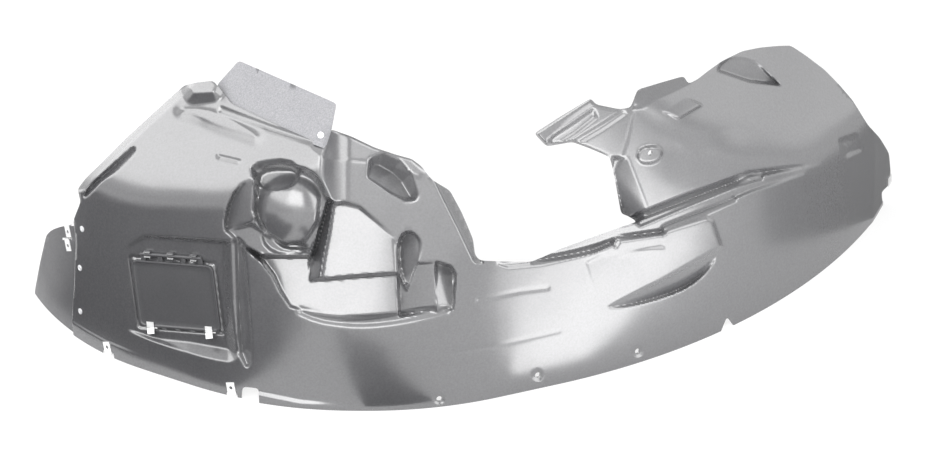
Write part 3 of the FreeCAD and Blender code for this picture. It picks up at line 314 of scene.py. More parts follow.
SHOULDERS = (
    Shoulder((110, 178), (330, 152), 62.0, 34.0, 440, 1),
    Shoulder((650, 100), (860, 125), 58.0, 34.0, 560, -1),
    Shoulder((300, 268), (470, 262), 18.0, 10.0, 352, -1, 1.2),
)
REAR_LOBE_FORMS = (
    Form("rear_lobe", [(618, 225), (637, 220.5), (690, 200), (750, 177), (800, 168), (880, 150),
         (910, 60), (700, 20), (600, 60), (520, 100), (520, 160), (600, 170)], -15, 5, fade=(740, 830)),
    Form("rear_ledge", [(520, 250), (532, 262.5), (560, 258), (593, 252), (612, 243), (616, 237),
         (661, 236), (664, 227), (705, 211), (752, 191), (805, 173), (806, 165), (750, 171), (690, 193),
         (637, 214), (605, 225)], -8, 4, fade=(740, 830)),
    Form("lobe_groove", [(636, 221), (690, 200), (735, 182.5), (762, 176), (762, 178), (735, 185.5),
         (690, 203.5), (640, 224.5)], -7, 1.5, mode=Mode.SUNK, slope=2.5),
    Form("ledge_block", [(616, 239), (661, 233), (664, 247), (640, 253), (618, 258)], 0.5, 3, True),
    Form("block_groove", [(612, 243), (616, 237), (661, 230.5), (664, 226), (705, 210), (735, 198),
         (736, 200), (706, 213.5), (667, 229), (664, 233.5), (619, 240), (615, 246)], -4, 2,
         mode=Mode.SUNK, slope=2.0),
    Form("scoop", [(586, 262), (600, 255), (664, 247), (661, 233), (707, 218), (713, 221), (722, 247),
         (718, 250), (660, 281), (602, 308)], [(602, 308, 0), (592, 262, -2), (720, 235, 6)], 5),
    Form("scoop_lens", [(602, 308), (660, 280.5), (719, 249.5), (712, 265), (698, 280), (680, 291),
         (650, 301), (625, 306.5)], [(602, 308, 0), (718, 250, 3), (666, 297, -14)], 2.5, rounds=1),
    Form("boss", [(639, 152), (644, 148), (655, 147), (661, 150), (660, 157), (654, 162), (643, 163),
         (638, 159)], 5, 2, mode=Mode.RAISED, slope=2.5, rounds=1),
    Form("raised_pad", [(661, 111), (686, 97), (702, 105), (678, 119)],
         [(661, 111, 0), (686, 97, 0), (678, 119, 7)], 3),
    Form("lobe_dip", [(672, 152), (700, 138), (735, 127), (748, 131), (722, 142), (690, 157)], -3, 6,
         mode=Mode.SUNK, slope=0.22, rounds=1),
    Form("crown_recess", [(718, 70), (721, 64), (730, 58), (743, 56.5), (757, 61), (768, 72), (781, 84),
         (750, 80.5)], [(719, 70, -13), (780, 84, -13), (745, 57, -1)], 2.5),
    Form("rear_pocket", [(845, 141), (859, 137), (863, 148), (850, 153)], -5, 2, mode=Mode.SUNK,
         slope=1.0),
    Form("strut_arm", [(533.8, 134), (590.4, 98.9), (595, 105), (618, 109.6), (634, 106), (627, 140),
         (620, 160), (613, 174), (608.8, 157), (572, 142.5), (546, 147)],
         [(640, 110, -4), (613, 170, 0), (560, 120, 26)], 6),
    Form("arm_top", [(530, 132), (590, 96), (594, 104), (552, 137), (545, 150)],
         [(535, 134, -7), (592, 99, -7), (560, 128, 1)], 2.5),
    Form("arm_groove_1", [(550, 141), (571, 127), (592, 112), (594, 117), (574, 133), (555, 145)], -5,
         1.5, mode=Mode.SUNK, slope=1.4),
    Form("arm_groove_2", [(573, 142), (600, 126), (622, 112), (624, 114), (602, 129), (577, 144)], -2.5,
         1.2, mode=Mode.SUNK, slope=1.2),
    Form("arm_flange", [(630, 109), (634, 90), (660, 81), (685, 73), (690, 83), (672, 92), (655, 99),
         (647, 108)], [(634, 108, -4), (686, 82, -4), (650, 88, -13)], 2.5),
    Form("tongue", [(610, 168), (613, 158), (627, 158), (640, 190), (648, 211), (637, 222), (621, 214)],
         [(627, 160, 0), (647, 211, 0), (617, 195, -26)], 4),
    Form("strip_flange", [(500, 263.5), (540, 259), (575, 251.5), (600, 244.5), (612, 240), (612, 243),
         (600, 248), (575, 255.5), (540, 263), (508, 266)], -3.5, 1.5, mode=Mode.SUNK, slope=1.4),
    Form("strip_line_1", [(478, 299), (520, 290.5), (548, 287), (548, 288.5), (520, 292), (478, 300.5)],
         -0.8, 1, mode=Mode.SUNK, slope=0.4),
    Form("strip_line_2", [(452, 352), (500, 344), (560, 330), (560, 331.5), (500, 345.5), (452, 353.5)],
         -0.8, 1, mode=Mode.SUNK, slope=0.4),
)
VALLEY_FORMS = (
    Form("shelf", [(243, 244), (263, 256), (290, 255), (311, 256), (312, 279), (398, 273), (407, 290),
         (418, 264), (439, 263), (452, 268), (455, 274), (452.5, 309), (428, 308), (380, 313),
         (350, 315), (320, 313), (300, 309), (291, 306), (281, 290), (274, 275), (264, 262)],
         [(300, 313, -3), (440, 310, -4), (380, 262, -28)], 4, True),
    Form("shelf_saddle", [(398, 273), (407, 290), (418, 264), (437, 262), (436, 311), (400, 316)],
         [(400, 290, -22), (437, 290, -5), (437, 264, -11)], 3, True),
    Form("shelf_end", [(436, 262), (450, 266), (455, 274), (453, 309), (436, 311)],
         [(436, 290, -7), (454, 290, -16), (440, 264, -22)], 3, True),
    Form("panel", [(334, 204), (345, 203), (360, 207), (378, 222), (394, 237), (397, 255), (398, 273),
         (350, 276.5), (323, 279), (325, 260), (330, 232)],
         [(323, 280, -2), (398, 274, -4), (352, 206, -38)], 4, True),
    Form("shelf_crescent", [(296, 309), (318, 316), (345, 319.5), (370, 319), (400, 315), (430, 310),
         (452, 309), (430, 314), (400, 320), (370, 323.5), (345, 323), (318, 319)], -5, 3,
         mode=Mode.SUNK, slope=1.2, rounds=1),
)
DOME_BAY_FORMS = (
    Form("dome_flank", [(256, 174), (237, 190), (229, 208), (226, 226), (229, 231), (253, 224),
         (259, 215), (258, 190)], [(228, 225, -15), (238, 188, -15), (257, 200, 3)], 4, True, rounds=1),
    Form("dome_seat", [(257, 176), (270, 168), (300, 168), (318, 178), (328, 196), (330, 204),
         (322, 232), (309, 256), (285, 250), (256, 222)],
         [(257, 200, -20), (322, 230, -20), (300, 168, -28)], 8, True, rounds=1),
    Form("dome_ledge", [(227, 230), (252, 224), (262, 230), (283, 247), (308, 249), (309, 256),
         (268, 256), (246, 247)], [(230, 230, -9), (262, 256, -3), (256, 226, -9)], 4, True),
)
DOME_FORMS = (
    Form("dome_cup", [(256, 172), (262, 169), (288, 167), (299, 175), (292, 187), (276, 191),
         (262, 187)], [(256, 168, -18), (298, 168, -18), (275, 190, -3)], 2.5, mode=Mode.SUNK,
         slope=2.5, rounds=1),
    Form("dome_trough", [(264, 233), (283, 246), (305, 245), (307, 252), (284, 254), (268, 246)], -7,
         2.5, mode=Mode.SUNK, slope=2.0, rounds=1),
    Form("rib", [(329, 199), (335, 203), (326, 245), (322, 279), (311, 280), (310, 262), (318, 238)],
         [(311, 270, -26), (324, 262, 0), (334, 205, -30)], 3, True),
)
FRONT_LOBE_FORMS = (
    Form("corner_pocket", [(368, 178), (374, 165), (380, 165), (392, 172), (402, 182), (411, 197),
         (405, 199), (390, 192), (378, 184)], [(374, 165, -17), (408, 192, -17), (380, 186, -3)], 2.0,
         mode=Mode.SUNK, slope=2.4),
    Form("oval_pocket", [(398, 250), (401, 236), (409, 231), (418, 236), (422, 246), (416, 266),
         (407, 289), (400, 272)], [(398, 248, -22), (403, 285, -12), (422, 248, -1)], 3, rounds=1),
    Form("lobe_brow", [(314, 146), (332, 129), (352, 136), (375, 147), (396, 154), (413, 159),
         (426, 172), (419, 177), (400, 169), (372, 162), (345, 160), (326, 160)],
         [(325, 160, 0), (400, 170, 0), (360, 140, -8)], 6),
    Form("lobe_edge", [(430, 178), (436, 183), (442, 197), (458, 228), (473, 262), (482, 262),
         (480, 230), (458, 185), (436, 172)], [(434, 182, 0), (473, 261, 0), (470, 225, -34)], 3),
)
FRAME_FORMS = (
    Form("valley", [(239, 243), (243, 245), (249, 300), (253, 348), (252, 361), (248, 365), (243, 352),
         (240, 300)], [(239, 300, -15), (252, 300, -3), (246, 362, -8)], 1.5, mode=Mode.SUNK,
         slope=2.6),
    Form("rim_flange", [(70, 192), (104, 155), (150, 110), (172, 90), (192, 84), (188, 93), (172, 106),
         (150, 125), (128, 146), (106, 168), (86, 190)],
         [(86, 190, -1), (172, 106, -1), (120, 145, -9)], 3),
    Form("rim_channel", [(82, 199), (92, 184), (108, 170), (124, 156), (135, 146), (137, 152),
         (133, 161), (120, 170), (104, 179), (92, 191)],
         [(90, 188, -13), (130, 151, -9), (120, 171, 0)], 3, rounds=1),
    Form("hood", [(191, 88), (197, 82), (212, 80), (217, 86), (214, 92), (194, 93)], 16, 2.5,
         mode=Mode.RAISED, slope=1.25),
    Form("rim_crease", [(178, 110), (205, 110), (228, 118), (262, 139), (242, 133), (216, 124),
         (198, 115)], -6, 5, mode=Mode.SUNK, slope=0.8, rounds=1),
    Form("seal_channel", [(222, 108), (270, 126.5), (322, 144), (323, 146.5), (270, 130), (221, 111.5)],
         -3.5, 1.5, mode=Mode.SUNK, slope=1.3),
    Form("front_rib", [(220, 156), (241, 161), (240, 162.5), (220, 158)], -3, 1.2, mode=Mode.SUNK,
         slope=1.4),
    Form("lip_flare", [(250, 391), (300, 401), (345, 404.5), (372, 405.5), (372, 414), (250, 405)], 3.5,
         7, fade=(290, 366)),
    Form("front_lip_step", [(62, 316), (70, 321), (85, 330), (105, 341), (128, 350), (150, 358),
         (150, 390), (60, 360)], 2.2, 3, fade=(112, 150)),
    Form("rear_flange", [(872, 118), (880, 140), (881, 166), (880, 200), (876, 224), (910, 220),
         (905, 140)], [(879, 150, 0), (879, 220, 0), (900, 150, -16)], 4),
)
LIP_SCREWS = ((-41, 14), (72, 41), (187, 68))


@dataclass(frozen=True)
class Dome:
    """The strut dome: a flattened ball that stands out of its seat inside an outline."""

    centre: Point = (291, 209)
    radius: float = 42.0
    sink: float = 30.0
    stretch: float = 0.75
    blend: float = 4.0
    tilt: float = 0.25
    edge: float = 5.0
    outline: Pixels = ((258, 192), (262, 178), (275, 168), (298, 169), (314, 179), (321, 196), (318, 222),
                       (306, 241), (286, 245), (268, 233), (259, 216))


@dataclass(frozen=True)
class Dimple:
    """The round dimple that a screw's head lies in, with a flat share in its middle."""

    radius: float = 7.5
    depth: float = 2.2
    flat: float = 0.55


@dataclass(frozen=True)
class HatchSeat:
    """The flat floor that the hatch lid lies on, the recess round it and the groove round the lid.

    The groove is deepest up to half its half width from its middle and ends at one and a half.
    """

    floor: Sequence[Spot] = ((-399, 188, -0.96), (-399, 87, -0.96), (-274, 81, -16.0))
    floor_outline: Pixels = (
        (127, 246), (145, 238), (224, 243), (226, 338), (229, 349), (189, 342), (152, 338), (127, 331))
    recess: Pixels = (
        (128, 247), (145, 236), (236, 242.5), (238, 300), (238, 340), (242, 368), (225, 364), (186, 352),
        (151, 339), (128, 330))
    centre: Point = (-342, 133)
    slope: float = -0.078
    bevel: float = 1.15
    recess_edge: float = 4.0
    groove_outline: Sequence[Point] = ((-53.0, -41.5), (53.0, -41.5), (53.0, 41.5), (-53.0, 41.5))
    groove_middle: float = 1.7
    groove_half_width: float = 1.7
    groove_depth: float = 3.0

    def plane(self, wall: ArchWall) -> Array:
        """The floor's plane w = a x + b v + c."""
        return plane_through([(x, v, wall.level(x, v) + drop) for x, v, drop in self.floor])

    def frame(self, wall: ArchWall) -> Matrix:
        """Frame on the floor in the part's frame, in metres: X along the hinge, Z outwards.

        Args:
            wall: the arch wall that the seat is cut into.

        Returns:
            The frame as a matrix.
        """
        a, b, c = self.plane(wall)
        x, v = self.centre
        along = direction(1.0, self.slope, a + b * self.slope)
        outward = direction(-a, -b, 1.0)
        return frame_at(to_part(x, v, a * x + b * v + c), outward.cross(along), outward)


class HeightField:
    """Heights along the draw on a grid of the draw plane, in mm."""

    def __init__(self, x: Array, v: Array, values: Array) -> None:
        """Keep the grid's columns, its rows and the heights.

        Args:
            x, v: the grid's ticks in mm.
            values: one height for each row and column.
        """
        self.x = x
        self.v = v
        self.step = float(x[1] - x[0])
        self.values = values

    def sample(self, x: Array, v: Array) -> Array:
        """Heights at any points, through a smooth cubic.

        Args:
            x, v: places of the draw plane.

        Returns:
            The height at each place.
        """
        x, v = np.asarray(x, float), np.asarray(v, float)
        weights, corners = [], []
        for wanted, ticks in ((x, self.x), (v, self.v)):
            spot = (wanted - ticks[0]) / self.step
            corner = np.clip(np.floor(spot).astype(int), 1, len(ticks) - 3)
            t = np.clip(spot - corner, 0, 1)
            weights.append((
                -0.5 * t + t**2 - 0.5 * t**3, 1 - 2.5 * t**2 + 1.5 * t**3,
                0.5 * t + 2 * t**2 - 1.5 * t**3, -0.5 * t**2 + 0.5 * t**3))
            corners.append(corner)
        total = np.zeros(np.shape(x))
        for j, row_weight in enumerate(weights[1]):
            for i, column_weight in enumerate(weights[0]):
                total += row_weight * column_weight * self.values[corners[1] + j - 1, corners[0] + i - 1]
        return total

    def normal(self, x: float, v: float) -> Array:
        """Unit normal of the surface at a point, in the draw frame.

        Args:
            x, v: the point.

        Returns:
            The normal as three numbers.
        """
        reach = self.step
        slope_x = self.sample(x + reach, v) - self.sample(x - reach, v)
        slope_v = self.sample(x, v + reach) - self.sample(x, v - reach)
        normal = np.array([-slope_x / (2 * reach), -slope_v / (2 * reach), 1.0])
        return normal / np.linalg.norm(normal)

    def sunk(self, distance: float) -> "HeightField":
        """The surface a given distance behind this one, measured square to it.

        Args:
            distance: how far behind, in mm.

        Returns:
            The new surface on the same grid.
        """
        reach = int(distance // self.step)
        lowest = self.values - distance
        for j in range(-reach, reach + 1):
            for i in range(-reach, reach + 1):
                away = math.hypot(i, j) * self.step
                if 0 < away <= distance:
                    moved = np.roll(np.roll(self.values, i, 1), j, 0)
                    lowest = np.minimum(lowest, moved - math.sqrt(distance**2 - away**2))
        return HeightField(self.x, self.v, lowest)

    def bend(self) -> Array:
        """How fast the slope changes at each grid point, in 1/mm.

        Returns:
            The strongest bend near each grid point.
        """
        across = [np.abs(np.roll(self.values, 1, axis) - 2 * self.values + np.roll(self.values, -1, axis))
                  for axis in (0, 1)]
        strongest = np.maximum(*across) / self.step**2
        for axis in (0, 1):
            strongest = np.maximum.reduce([np.roll(strongest, k, axis) for k in (-1, 0, 1)])
        return strongest


class Relief:
    """The moulded surface: the arch wall, its shoulders and every form on it.

    Its grid lies between two places of the picture. The sloped side of a form ends within the
    longest side, in mm.
    """

    top_left: Point = (20, 30)
    bottom_right: Point = (915, 425)
    longest_side: float = 30.0

    def __init__(self) -> None:
        """Lay all the forms in order on a one-pixel grid."""
        self.wall = ArchWall()
        self.seat = HatchSeat()
        self.dome = Dome()
        self.dimple = Dimple()
        left, top = place(*self.top_left)
        right, bottom = place(*self.bottom_right)
        self.x = np.arange(left, right, PIXEL)
        self.v = np.arange(bottom, top, PIXEL)
        self.grid_x, self.grid_v = np.meshgrid(self.x, self.v)
        self.ground = self.wall.level(self.grid_x, self.grid_v)
        self.values = self.ground.copy()
        for shoulder in SHOULDERS:
            level = shoulder.level(self.wall, self.grid_x, self.grid_v)
            self.values = soft_minimum(self.values, level, shoulder.blend)
        self.plain = HeightField(self.x, self.v, self.values.copy())
        for form in (*REAR_LOBE_FORMS, *VALLEY_FORMS, *DOME_BAY_FORMS):
            self.lay(form)
        self.lay_dome()
        for form in (*DOME_FORMS, *FRONT_LOBE_FORMS):
            self.lay(form)
        self.lay_hatch_seat()
        for form in FRAME_FORMS:
            self.lay(form)
        for centre in LIP_SCREWS:
            self.lay_dimple(centre)
        self.field = HeightField(self.x, self.v, softened(softened(self.values, 0), 1))

    def lay(self, form: Form) -> None:
        """Change the surface inside one form's outline.

        Args:
            form: the form and how it changes the surface.
        """
        outline = form.placed_outline()
        margin = form.edge + (PIXEL if form.mode is Mode.LAID else self.longest_side)
        low, high = outline.min(0) - margin, outline.max(0) + margin
        columns = slice(*np.searchsorted(self.x, (low[0], high[0])))
        rows = slice(*np.searchsorted(self.v, (low[1], high[1])))
        x, v = self.grid_x[rows, columns], self.grid_v[rows, columns]
        inside = signed_distance(outline, x, v)
        now = self.values[rows, columns]
        ground = self.ground[rows, columns] if form.on_wall else now
        target = ground + form.heights(x, v)
        away = np.clip(-inside, 0, None) * form.slope
        if form.mode is Mode.SUNK:
            changed = soft_minimum(now, target + away, form.edge)
        elif form.mode is Mode.RAISED:
            changed = -soft_minimum(-now, away - target, form.edge)
        else:
            changed = now + (target - now) * smooth(inside / form.edge + 0.5)
        self.values[rows, columns] = changed

    def inside(self, outline: Pixels) -> Array:
        """How far each grid point lies inside an outline of the picture, in mm."""
        return signed_distance(placed(outline), self.grid_x, self.grid_v)

    def lay_dome(self) -> None:
        """Raise the strut dome out of its seat."""
        dome = self.dome
        x, v = place(*dome.centre)
        away = np.hypot(self.grid_x - x, self.grid_v - v)
        rise = np.sqrt(np.clip(dome.radius**2 - away**2, 0, None)) * dome.stretch
        leant = self.ground + rise - (self.grid_v - v) * dome.tilt
        raised = -soft_minimum(-self.values, dome.sink - leant, dome.blend)
        share = smooth(self.inside(dome.outline) / dome.edge + 0.5)
        self.values = self.values + (raised - self.values) * share

    def lay_hatch_seat(self) -> None:
        """Cut the recess round the hatch, a flat floor with sloped sides, and the groove in it."""
        seat = self.seat
        a, b, c = seat.plane(self.wall)
        floor = a * self.grid_x + b * self.grid_v + c
        sloped = floor + np.clip(-self.inside(seat.floor_outline), 0, None) * seat.bevel
        share = smooth(self.inside(seat.recess) / seat.recess_edge + 0.5)
        self.values = self.values + (np.minimum(self.values, sloped) - self.values) * share
        seat_frame = seat.frame(self.wall)
        corners = [on_draw_plane(seat_frame, x, y) for x, y in seat.groove_outline]
        beside = np.abs(signed_distance(corners, self.grid_x, self.grid_v) + seat.groove_middle)
        self.values = self.values - seat.groove_depth * smooth(1.5 - beside / seat.groove_half_width)

    def lay_dimple(self, centre: Point) -> None:
        """Press a round dimple for a screw.

        Args:
            centre: its middle in the draw plane.
        """
        away = np.hypot(self.grid_x - centre[0], self.grid_v - centre[1]) / self.dimple.radius
        flat = self.dimple.flat
        self.values = self.values - self.dimple.depth * (1 - smooth((away - flat) / (1 - flat)))


@dataclass
class Loop:
    """A closed edge of a sheet: its points on the front and on the back, in the draw plane."""

    front: Array
    back: Array


def closed_edges(loops: Sequence[Array]) -> list[tuple[int, int]]:
    """The edges of closed loops whose points are numbered one loop after the other.

    Args:
        loops: the points of each loop.

    Returns:
        Pairs of point numbers.
    """
    edges, start = [], 0
    for loop in loops:
        count = len(loop)
        edges += [(start + i, start + (i + 1) % count) for i in range(count)]
        start += count
    return edges


class SheetMaker:
    """Makes a closed thin solid between a front and a back surface.

    Its triangles are closest where the surface bends strongly, and closer where it bends slightly.
    """

    strong_bend: float = 0.045
    slight_bend: float = 0.012
    coarse_every: int = 4
    closer_every: int = 2
    edge_clearance: float = 0.55

    def __init__(self, front: HeightField, back: HeightField) -> None:
        """Keep the two surfaces."""
        self.front = front
        self.back = back

    def onto_floor(self, field: HeightField, points: Array, always: Array) -> Array:
        """Slide points up or down a surface until they stand on the floor.

        Args:
            field: the surface that the points lie on.
            points: points of the draw plane.
            always: which points are moved even where they lie above the floor.

        Returns:
            The moved points. Points above the floor stay, unless always says otherwise.
        """
        moved = points.copy()
        wanted = always | (moved[:, 1] * ACROSS + field.sample(*moved.T) * UP < 0)
        for _ in range(FLOOR_ROUNDS):
            settled = -field.sample(*moved.T)[wanted] * math.tan(DRAW_ELEVATION)
            moved[wanted, 1] = (moved[wanted, 1] + settled) / 2
        return moved

    def edge_loop(self, points: Array, on_floor: Array) -> Loop:
        """The sheet's outer edge, with the lip standing on the floor on both sides."""
        front = self.onto_floor(self.front, points, on_floor)
        return Loop(front, self.onto_floor(self.back, front, on_floor))

    def round_hole(self, centre: Point, radius: float, count: int = 28) -> Loop:
        """A round hole drilled square to the surface.

        Args:
            centre: its middle in the draw plane.
            radius: in mm.
            count: points round it.

        Returns:
            The hole's edge on both sides.
        """
        normal = self.front.normal(*centre)
        side = np.cross(normal, [0.0, 1.0, 0.0])
        side /= np.linalg.norm(side)
        up = np.cross(normal, side)
        turns = np.linspace(0, 2 * math.pi, count, endpoint=False)
        ring = radius * (np.cos(turns)[:, None] * side + np.sin(turns)[:, None] * up)
        front = np.array(centre) + ring[:, :2]
        return Loop(front, front - normal[:2] * SHEET)

    def points_between(self, field: HeightField, loops: Sequence[Array], fine: float) -> Array:
        """Points of the surface inside its edges, closer together where it bends more.

        Args:
            field: the surface.
            loops: the outer edge and then the holes.
            fine: spacing of the closest points, in mm.

        Returns:
            The points, one row each.
        """
        low, high = loops[0].min(0), loops[0].max(0)
        x, v = np.meshgrid(np.arange(low[0], high[0], fine), np.arange(low[1], high[1], fine))
        nearest_x, nearest_v = (
            np.clip(((places - ticks[0]) / field.step).round().astype(int), 0, len(ticks) - 1)
            for places, ticks in ((x, field.x), (v, field.v)))
        strength = field.bend()[nearest_v, nearest_x]
        row, column = np.indices(x.shape)
        coarse, closer = ((column % every == 0) & (row % every == 0)
                          for every in (self.coarse_every, self.closer_every))
        kept = coarse | (closer & (strength > self.slight_bend)) | (strength > self.strong_bend)
        x, v = x[kept], v[kept]
        for number, loop in enumerate(loops):
            distance = signed_distance(loop, x, v)
            clear = (distance if number == 0 else -distance) > fine * self.edge_clearance
            x, v = x[clear], v[clear]
        return np.stack([x, v], -1)

    def skin(self, field: HeightField, loops: Sequence[Array], fine: float) -> tuple[Array, Array]:
        """Triangles of one side.

        Args:
            field: the side's surface.
            loops: the outer edge and then the holes.
            fine: spacing of the closest points, in mm.

        Returns:
            The points, with those of the loops first and in order, and the triangles. Where two
            edges cross, the crossing is a point of its own at the end.
        """
        points = np.concatenate([*loops, self.points_between(field, loops, fine)])
        corners = [Vector(point) for point in points]
        found = delaunay_2d_cdt(corners, closed_edges(loops), [], 0, SAME_PLACE, True)
        crossings = [tuple(point) for point, sources in zip(found[0], found[3]) if not sources]
        numbers = iter(range(len(points), len(points) + len(crossings)))
        number_of = [sources[0] if sources else next(numbers) for sources in found[3]]
        points = np.concatenate([points, np.array(crossings).reshape(-1, 2)])
        triangles = np.array([[number_of[i] for i in face] for face in found[2]])
        middles = points[triangles].mean(1)
        kept = np.ones(len(triangles), bool)
        for number, loop in enumerate(loops):
            kept &= (signed_distance(loop, *middles.T) > 0) == (number == 0)
        triangles = triangles[kept]
        one, two, three = (points[triangles[:, k]] for k in range(3))
        turned = np.cross(two - one, three - one) < 0
        triangles[turned] = triangles[turned][:, ::-1]
        return points, triangles

    def solid(self, name: str, loops: Sequence[Loop], fine: float, back_fine: float) -> Piece:
        """The closed sheet as an object in the part's frame.

        Args:
            name: the object's name.
            loops: the outer edge and then the holes.
            fine, back_fine: spacing of the closest points of each side, in mm.

        Returns:
            The sheet as an object.
        """
        fronts = [turned_to(loop.front, number == 0) for number, loop in enumerate(loops)]
        backs = [matched_to(loop, front) for loop, front in zip(loops, fronts)]
        front_points, front_faces = self.skin(self.front, fronts, fine)
        back_points, back_faces = self.skin(self.back, backs, back_fine)
        offset = len(front_points)
        faces = [*front_faces.tolist(), *(back_faces[:, ::-1] + offset).tolist()]
        faces += [[here, here + offset, there + offset, there] for here, there in closed_edges(fronts)]
        points = np.concatenate([
            to_part(*side.T, field.sample(*side.T))
            for side, field in ((front_points, self.front), (back_points, self.back))])
        return object_from(name, points.tolist(), faces)


def turned_to(loop: Array, counter_clockwise: bool) -> Array:
    """A loop's points in the wanted turning direction.

    Args:
        loop: the points of a closed loop.
        counter_clockwise: the wanted direction.

    Returns:
        The points in that direction.
    """
    x, v = loop.T
    area = float((x * np.roll(v, -1) - np.roll(x, -1) * v).sum())
    return loop if (area > 0) == counter_clockwise else loop[::-1]


def matched_to(loop: Loop, front: Array) -> Array:
    """The back points in the order of the given front points."""
    return loop.back if np.allclose(loop.front[0], front[0]) else loop.back[::-1]


def resampled(points: Array) -> Array:
    """A closed line's points at an even spacing that keeps its corners.

    Args:
        points: the corners of the line.

    Returns:
        The points, one row each.
    """
    made = []
    for start, end in zip(points, np.roll(points, -1, 0)):
        count = max(1, int(round(np.linalg.norm(end - start) / EDGE_SPACING)))
        made += [start + (end - start) * k / count for k in range(count)]
    return np.array(made)


def linked(name: str, data: bpy.types.ID) -> Piece:
    """A new object of the scene with its data.

    Args:
        name: the object's name.
        data: its mesh or camera.

    Returns:
        The object.
    """
    made = bpy.data.objects.new(name, data)
    bpy.context.scene.collection.objects.link(made)
    return made


def object_from(name: str, points: list, faces: list) -> Piece:
    """A new object with its place in its mesh.

    Args:
        name: the object's name.
        points: its points in metres.
        faces: point numbers of each face.

    Returns:
        The object.
    """
    mesh = bpy.data.meshes.new(name)
    mesh.from_pydata([tuple(point) for point in points], [], faces)
    mesh.validate()
    return linked(name, mesh)


def smooth_shade(made: Piece, angle: float = 40.0) -> None:
    """Smooth shading with the edges over an angle kept sharp."""
    made.data.shade_smooth()
    made.data.set_sharp_from_angle(angle=math.radians(angle))


def linear(colour: str) -> tuple[float, float, float, float]:
    """An sRGB hex colour as linear numbers.

    Args:
        colour: the colour as #rrggbb.

    Returns:
        Red, green, blue and alpha.
    """
    parts = [int(colour[i:i + 2], 16) / 255 for i in (1, 3, 5)]
    red, green, blue = (c / 12.92 if c <= 0.04045 else ((c + 0.055) / 1.055) ** 2.4 for c in parts)
    return red, green, blue, 1.0


def set_inputs(node: bpy.types.Node, inputs: dict) -> None:
    """Set or link a node's inputs.

    Args:
        node: the node.
        inputs: numbers or sockets by the input's name or number.
    """
    for key, value in inputs.items():
        if isinstance(value, Socket):
            node.id_data.links.new(value, node.inputs[key])
        else:
            node.inputs[key].default_value = value


def add_node(tree: Tree, kind: str, inputs: Optional[dict] = None, **settings: object) -> bpy.types.Node:
    """Add a node with its settings and its inputs.

    Args:
        tree: the tree that it joins.
        kind: the node's type.
        inputs: numbers or sockets.
        settings: the node's own properties.

    Returns:
        The new node.
    """
    made = tree.nodes.new(kind)
    for name, value in settings.items():
        setattr(made, name, value)
    set_inputs(made, inputs or {})
    return made


def new_material(name: str) -> tuple[bpy.types.Material, Tree]:
    """A material with the standard shader, and its node tree.

    Args:
        name: the material's name.

    Returns:
        The material and its tree.
    """
    made = bpy.data.materials.new(name)
    made.use_nodes = True
    return made, made.node_tree


@dataclass(frozen=True)
class Plastic:
    """Moulded thermoplastic sheet: a dark body colour under a smooth skin with fine grain.

    Grain and blotch are sizes in mm. The mottle is larger than the grain by a factor. A real
    moulding's grain is a few tenths of a millimetre, too fine to show, so it is drawn coarser.
    """

    name: str
    colour: str
    shade: str
    roughness: float
    ior: float
    specular: float
    grain: float
    grain_depth: float
    blotch: float = 30.0
    mottle: float = 2.2
    gloss: Point = (0.88, 1.14)

    def material(self) -> bpy.types.Material:
        """Colour mottle, uneven gloss and a fine grain, all on object coordinates.

        Returns:
            The material.
        """
        made, tree = new_material(self.name)
        where = add_node(tree, "ShaderNodeTexCoord").outputs["Object"]
        low, high = NOISE_ENDS
        mottle, patches, fine = (
            add_node(tree, "ShaderNodeTexNoise", {
                "Vector": where, "Scale": 1 / (size * MM), "Detail": detail, "Roughness": roughness})
            for size, detail, roughness in (
                (self.grain * self.mottle, 3.0, 0.7), (self.blotch, 4.0, 0.5), (self.grain, 2.0, 0.6)))
        share = add_node(tree, "ShaderNodeMapRange", {
            "Value": mottle.outputs["Fac"], "From Min": low, "From Max": high})
        ends = {"Factor": share.outputs["Result"], "A": linear(self.shade), "B": linear(self.colour)}
        colour = add_node(tree, "ShaderNodeMix", ends, data_type="RGBA")
        gloss = add_node(tree, "ShaderNodeMapRange", {
            "Value": patches.outputs["Fac"], "From Min": low, "From Max": high,
            "To Min": self.roughness * self.gloss[0], "To Max": self.roughness * self.gloss[1]})
        bump = add_node(tree, "ShaderNodeBump", {
            "Height": fine.outputs["Fac"], "Strength": 1.0, "Distance": self.grain_depth * MM})
        set_inputs(tree.nodes["Principled BSDF"], {
            "IOR": self.ior, "Specular IOR Level": self.specular, "Base Color": colour.outputs["Result"],
            "Roughness": gloss.outputs["Result"], "Normal": bump.outputs["Normal"]})
        return made


@dataclass(frozen=True)
class Steel:
    """Zinc-plated spring steel or aluminium: bright, with a soft brushed gloss."""

    name: str
    colour: str
    roughness: float
    metallic: float
    grain: float = 1.2
    gloss: Point = (0.7, 1.3)

    def material(self) -> bpy.types.Material:
        """A metal with an uneven gloss.

        Returns:
            The material.
        """
        made, tree = new_material(self.name)
        where = add_node(tree, "ShaderNodeTexCoord").outputs["Object"]
        uneven = add_node(tree, "ShaderNodeTexNoise", {
            "Vector": where, "Scale": 1 / (self.grain * MM), "Detail": 3.0})
        gloss = add_node(tree, "ShaderNodeMapRange", {
            "Value": uneven.outputs["Fac"], "To Min": self.roughness * self.gloss[0],
            "To Max": self.roughness * self.gloss[1]})
        set_inputs(tree.nodes["Principled BSDF"], {
            "Metallic": self.metallic, "Base Color": linear(self.colour),
            "Roughness": gloss.outputs["Result"]})
        return made


WHITE = linear("#ffffff")
# The moulding's high index and low roughness give sharp light and dark bands along its bends.
MOULDING = Plastic("moulded_polyethylene", "#565658", "#4b4b4d", 0.23, 1.85, 0.8, 1.1, 0.03)
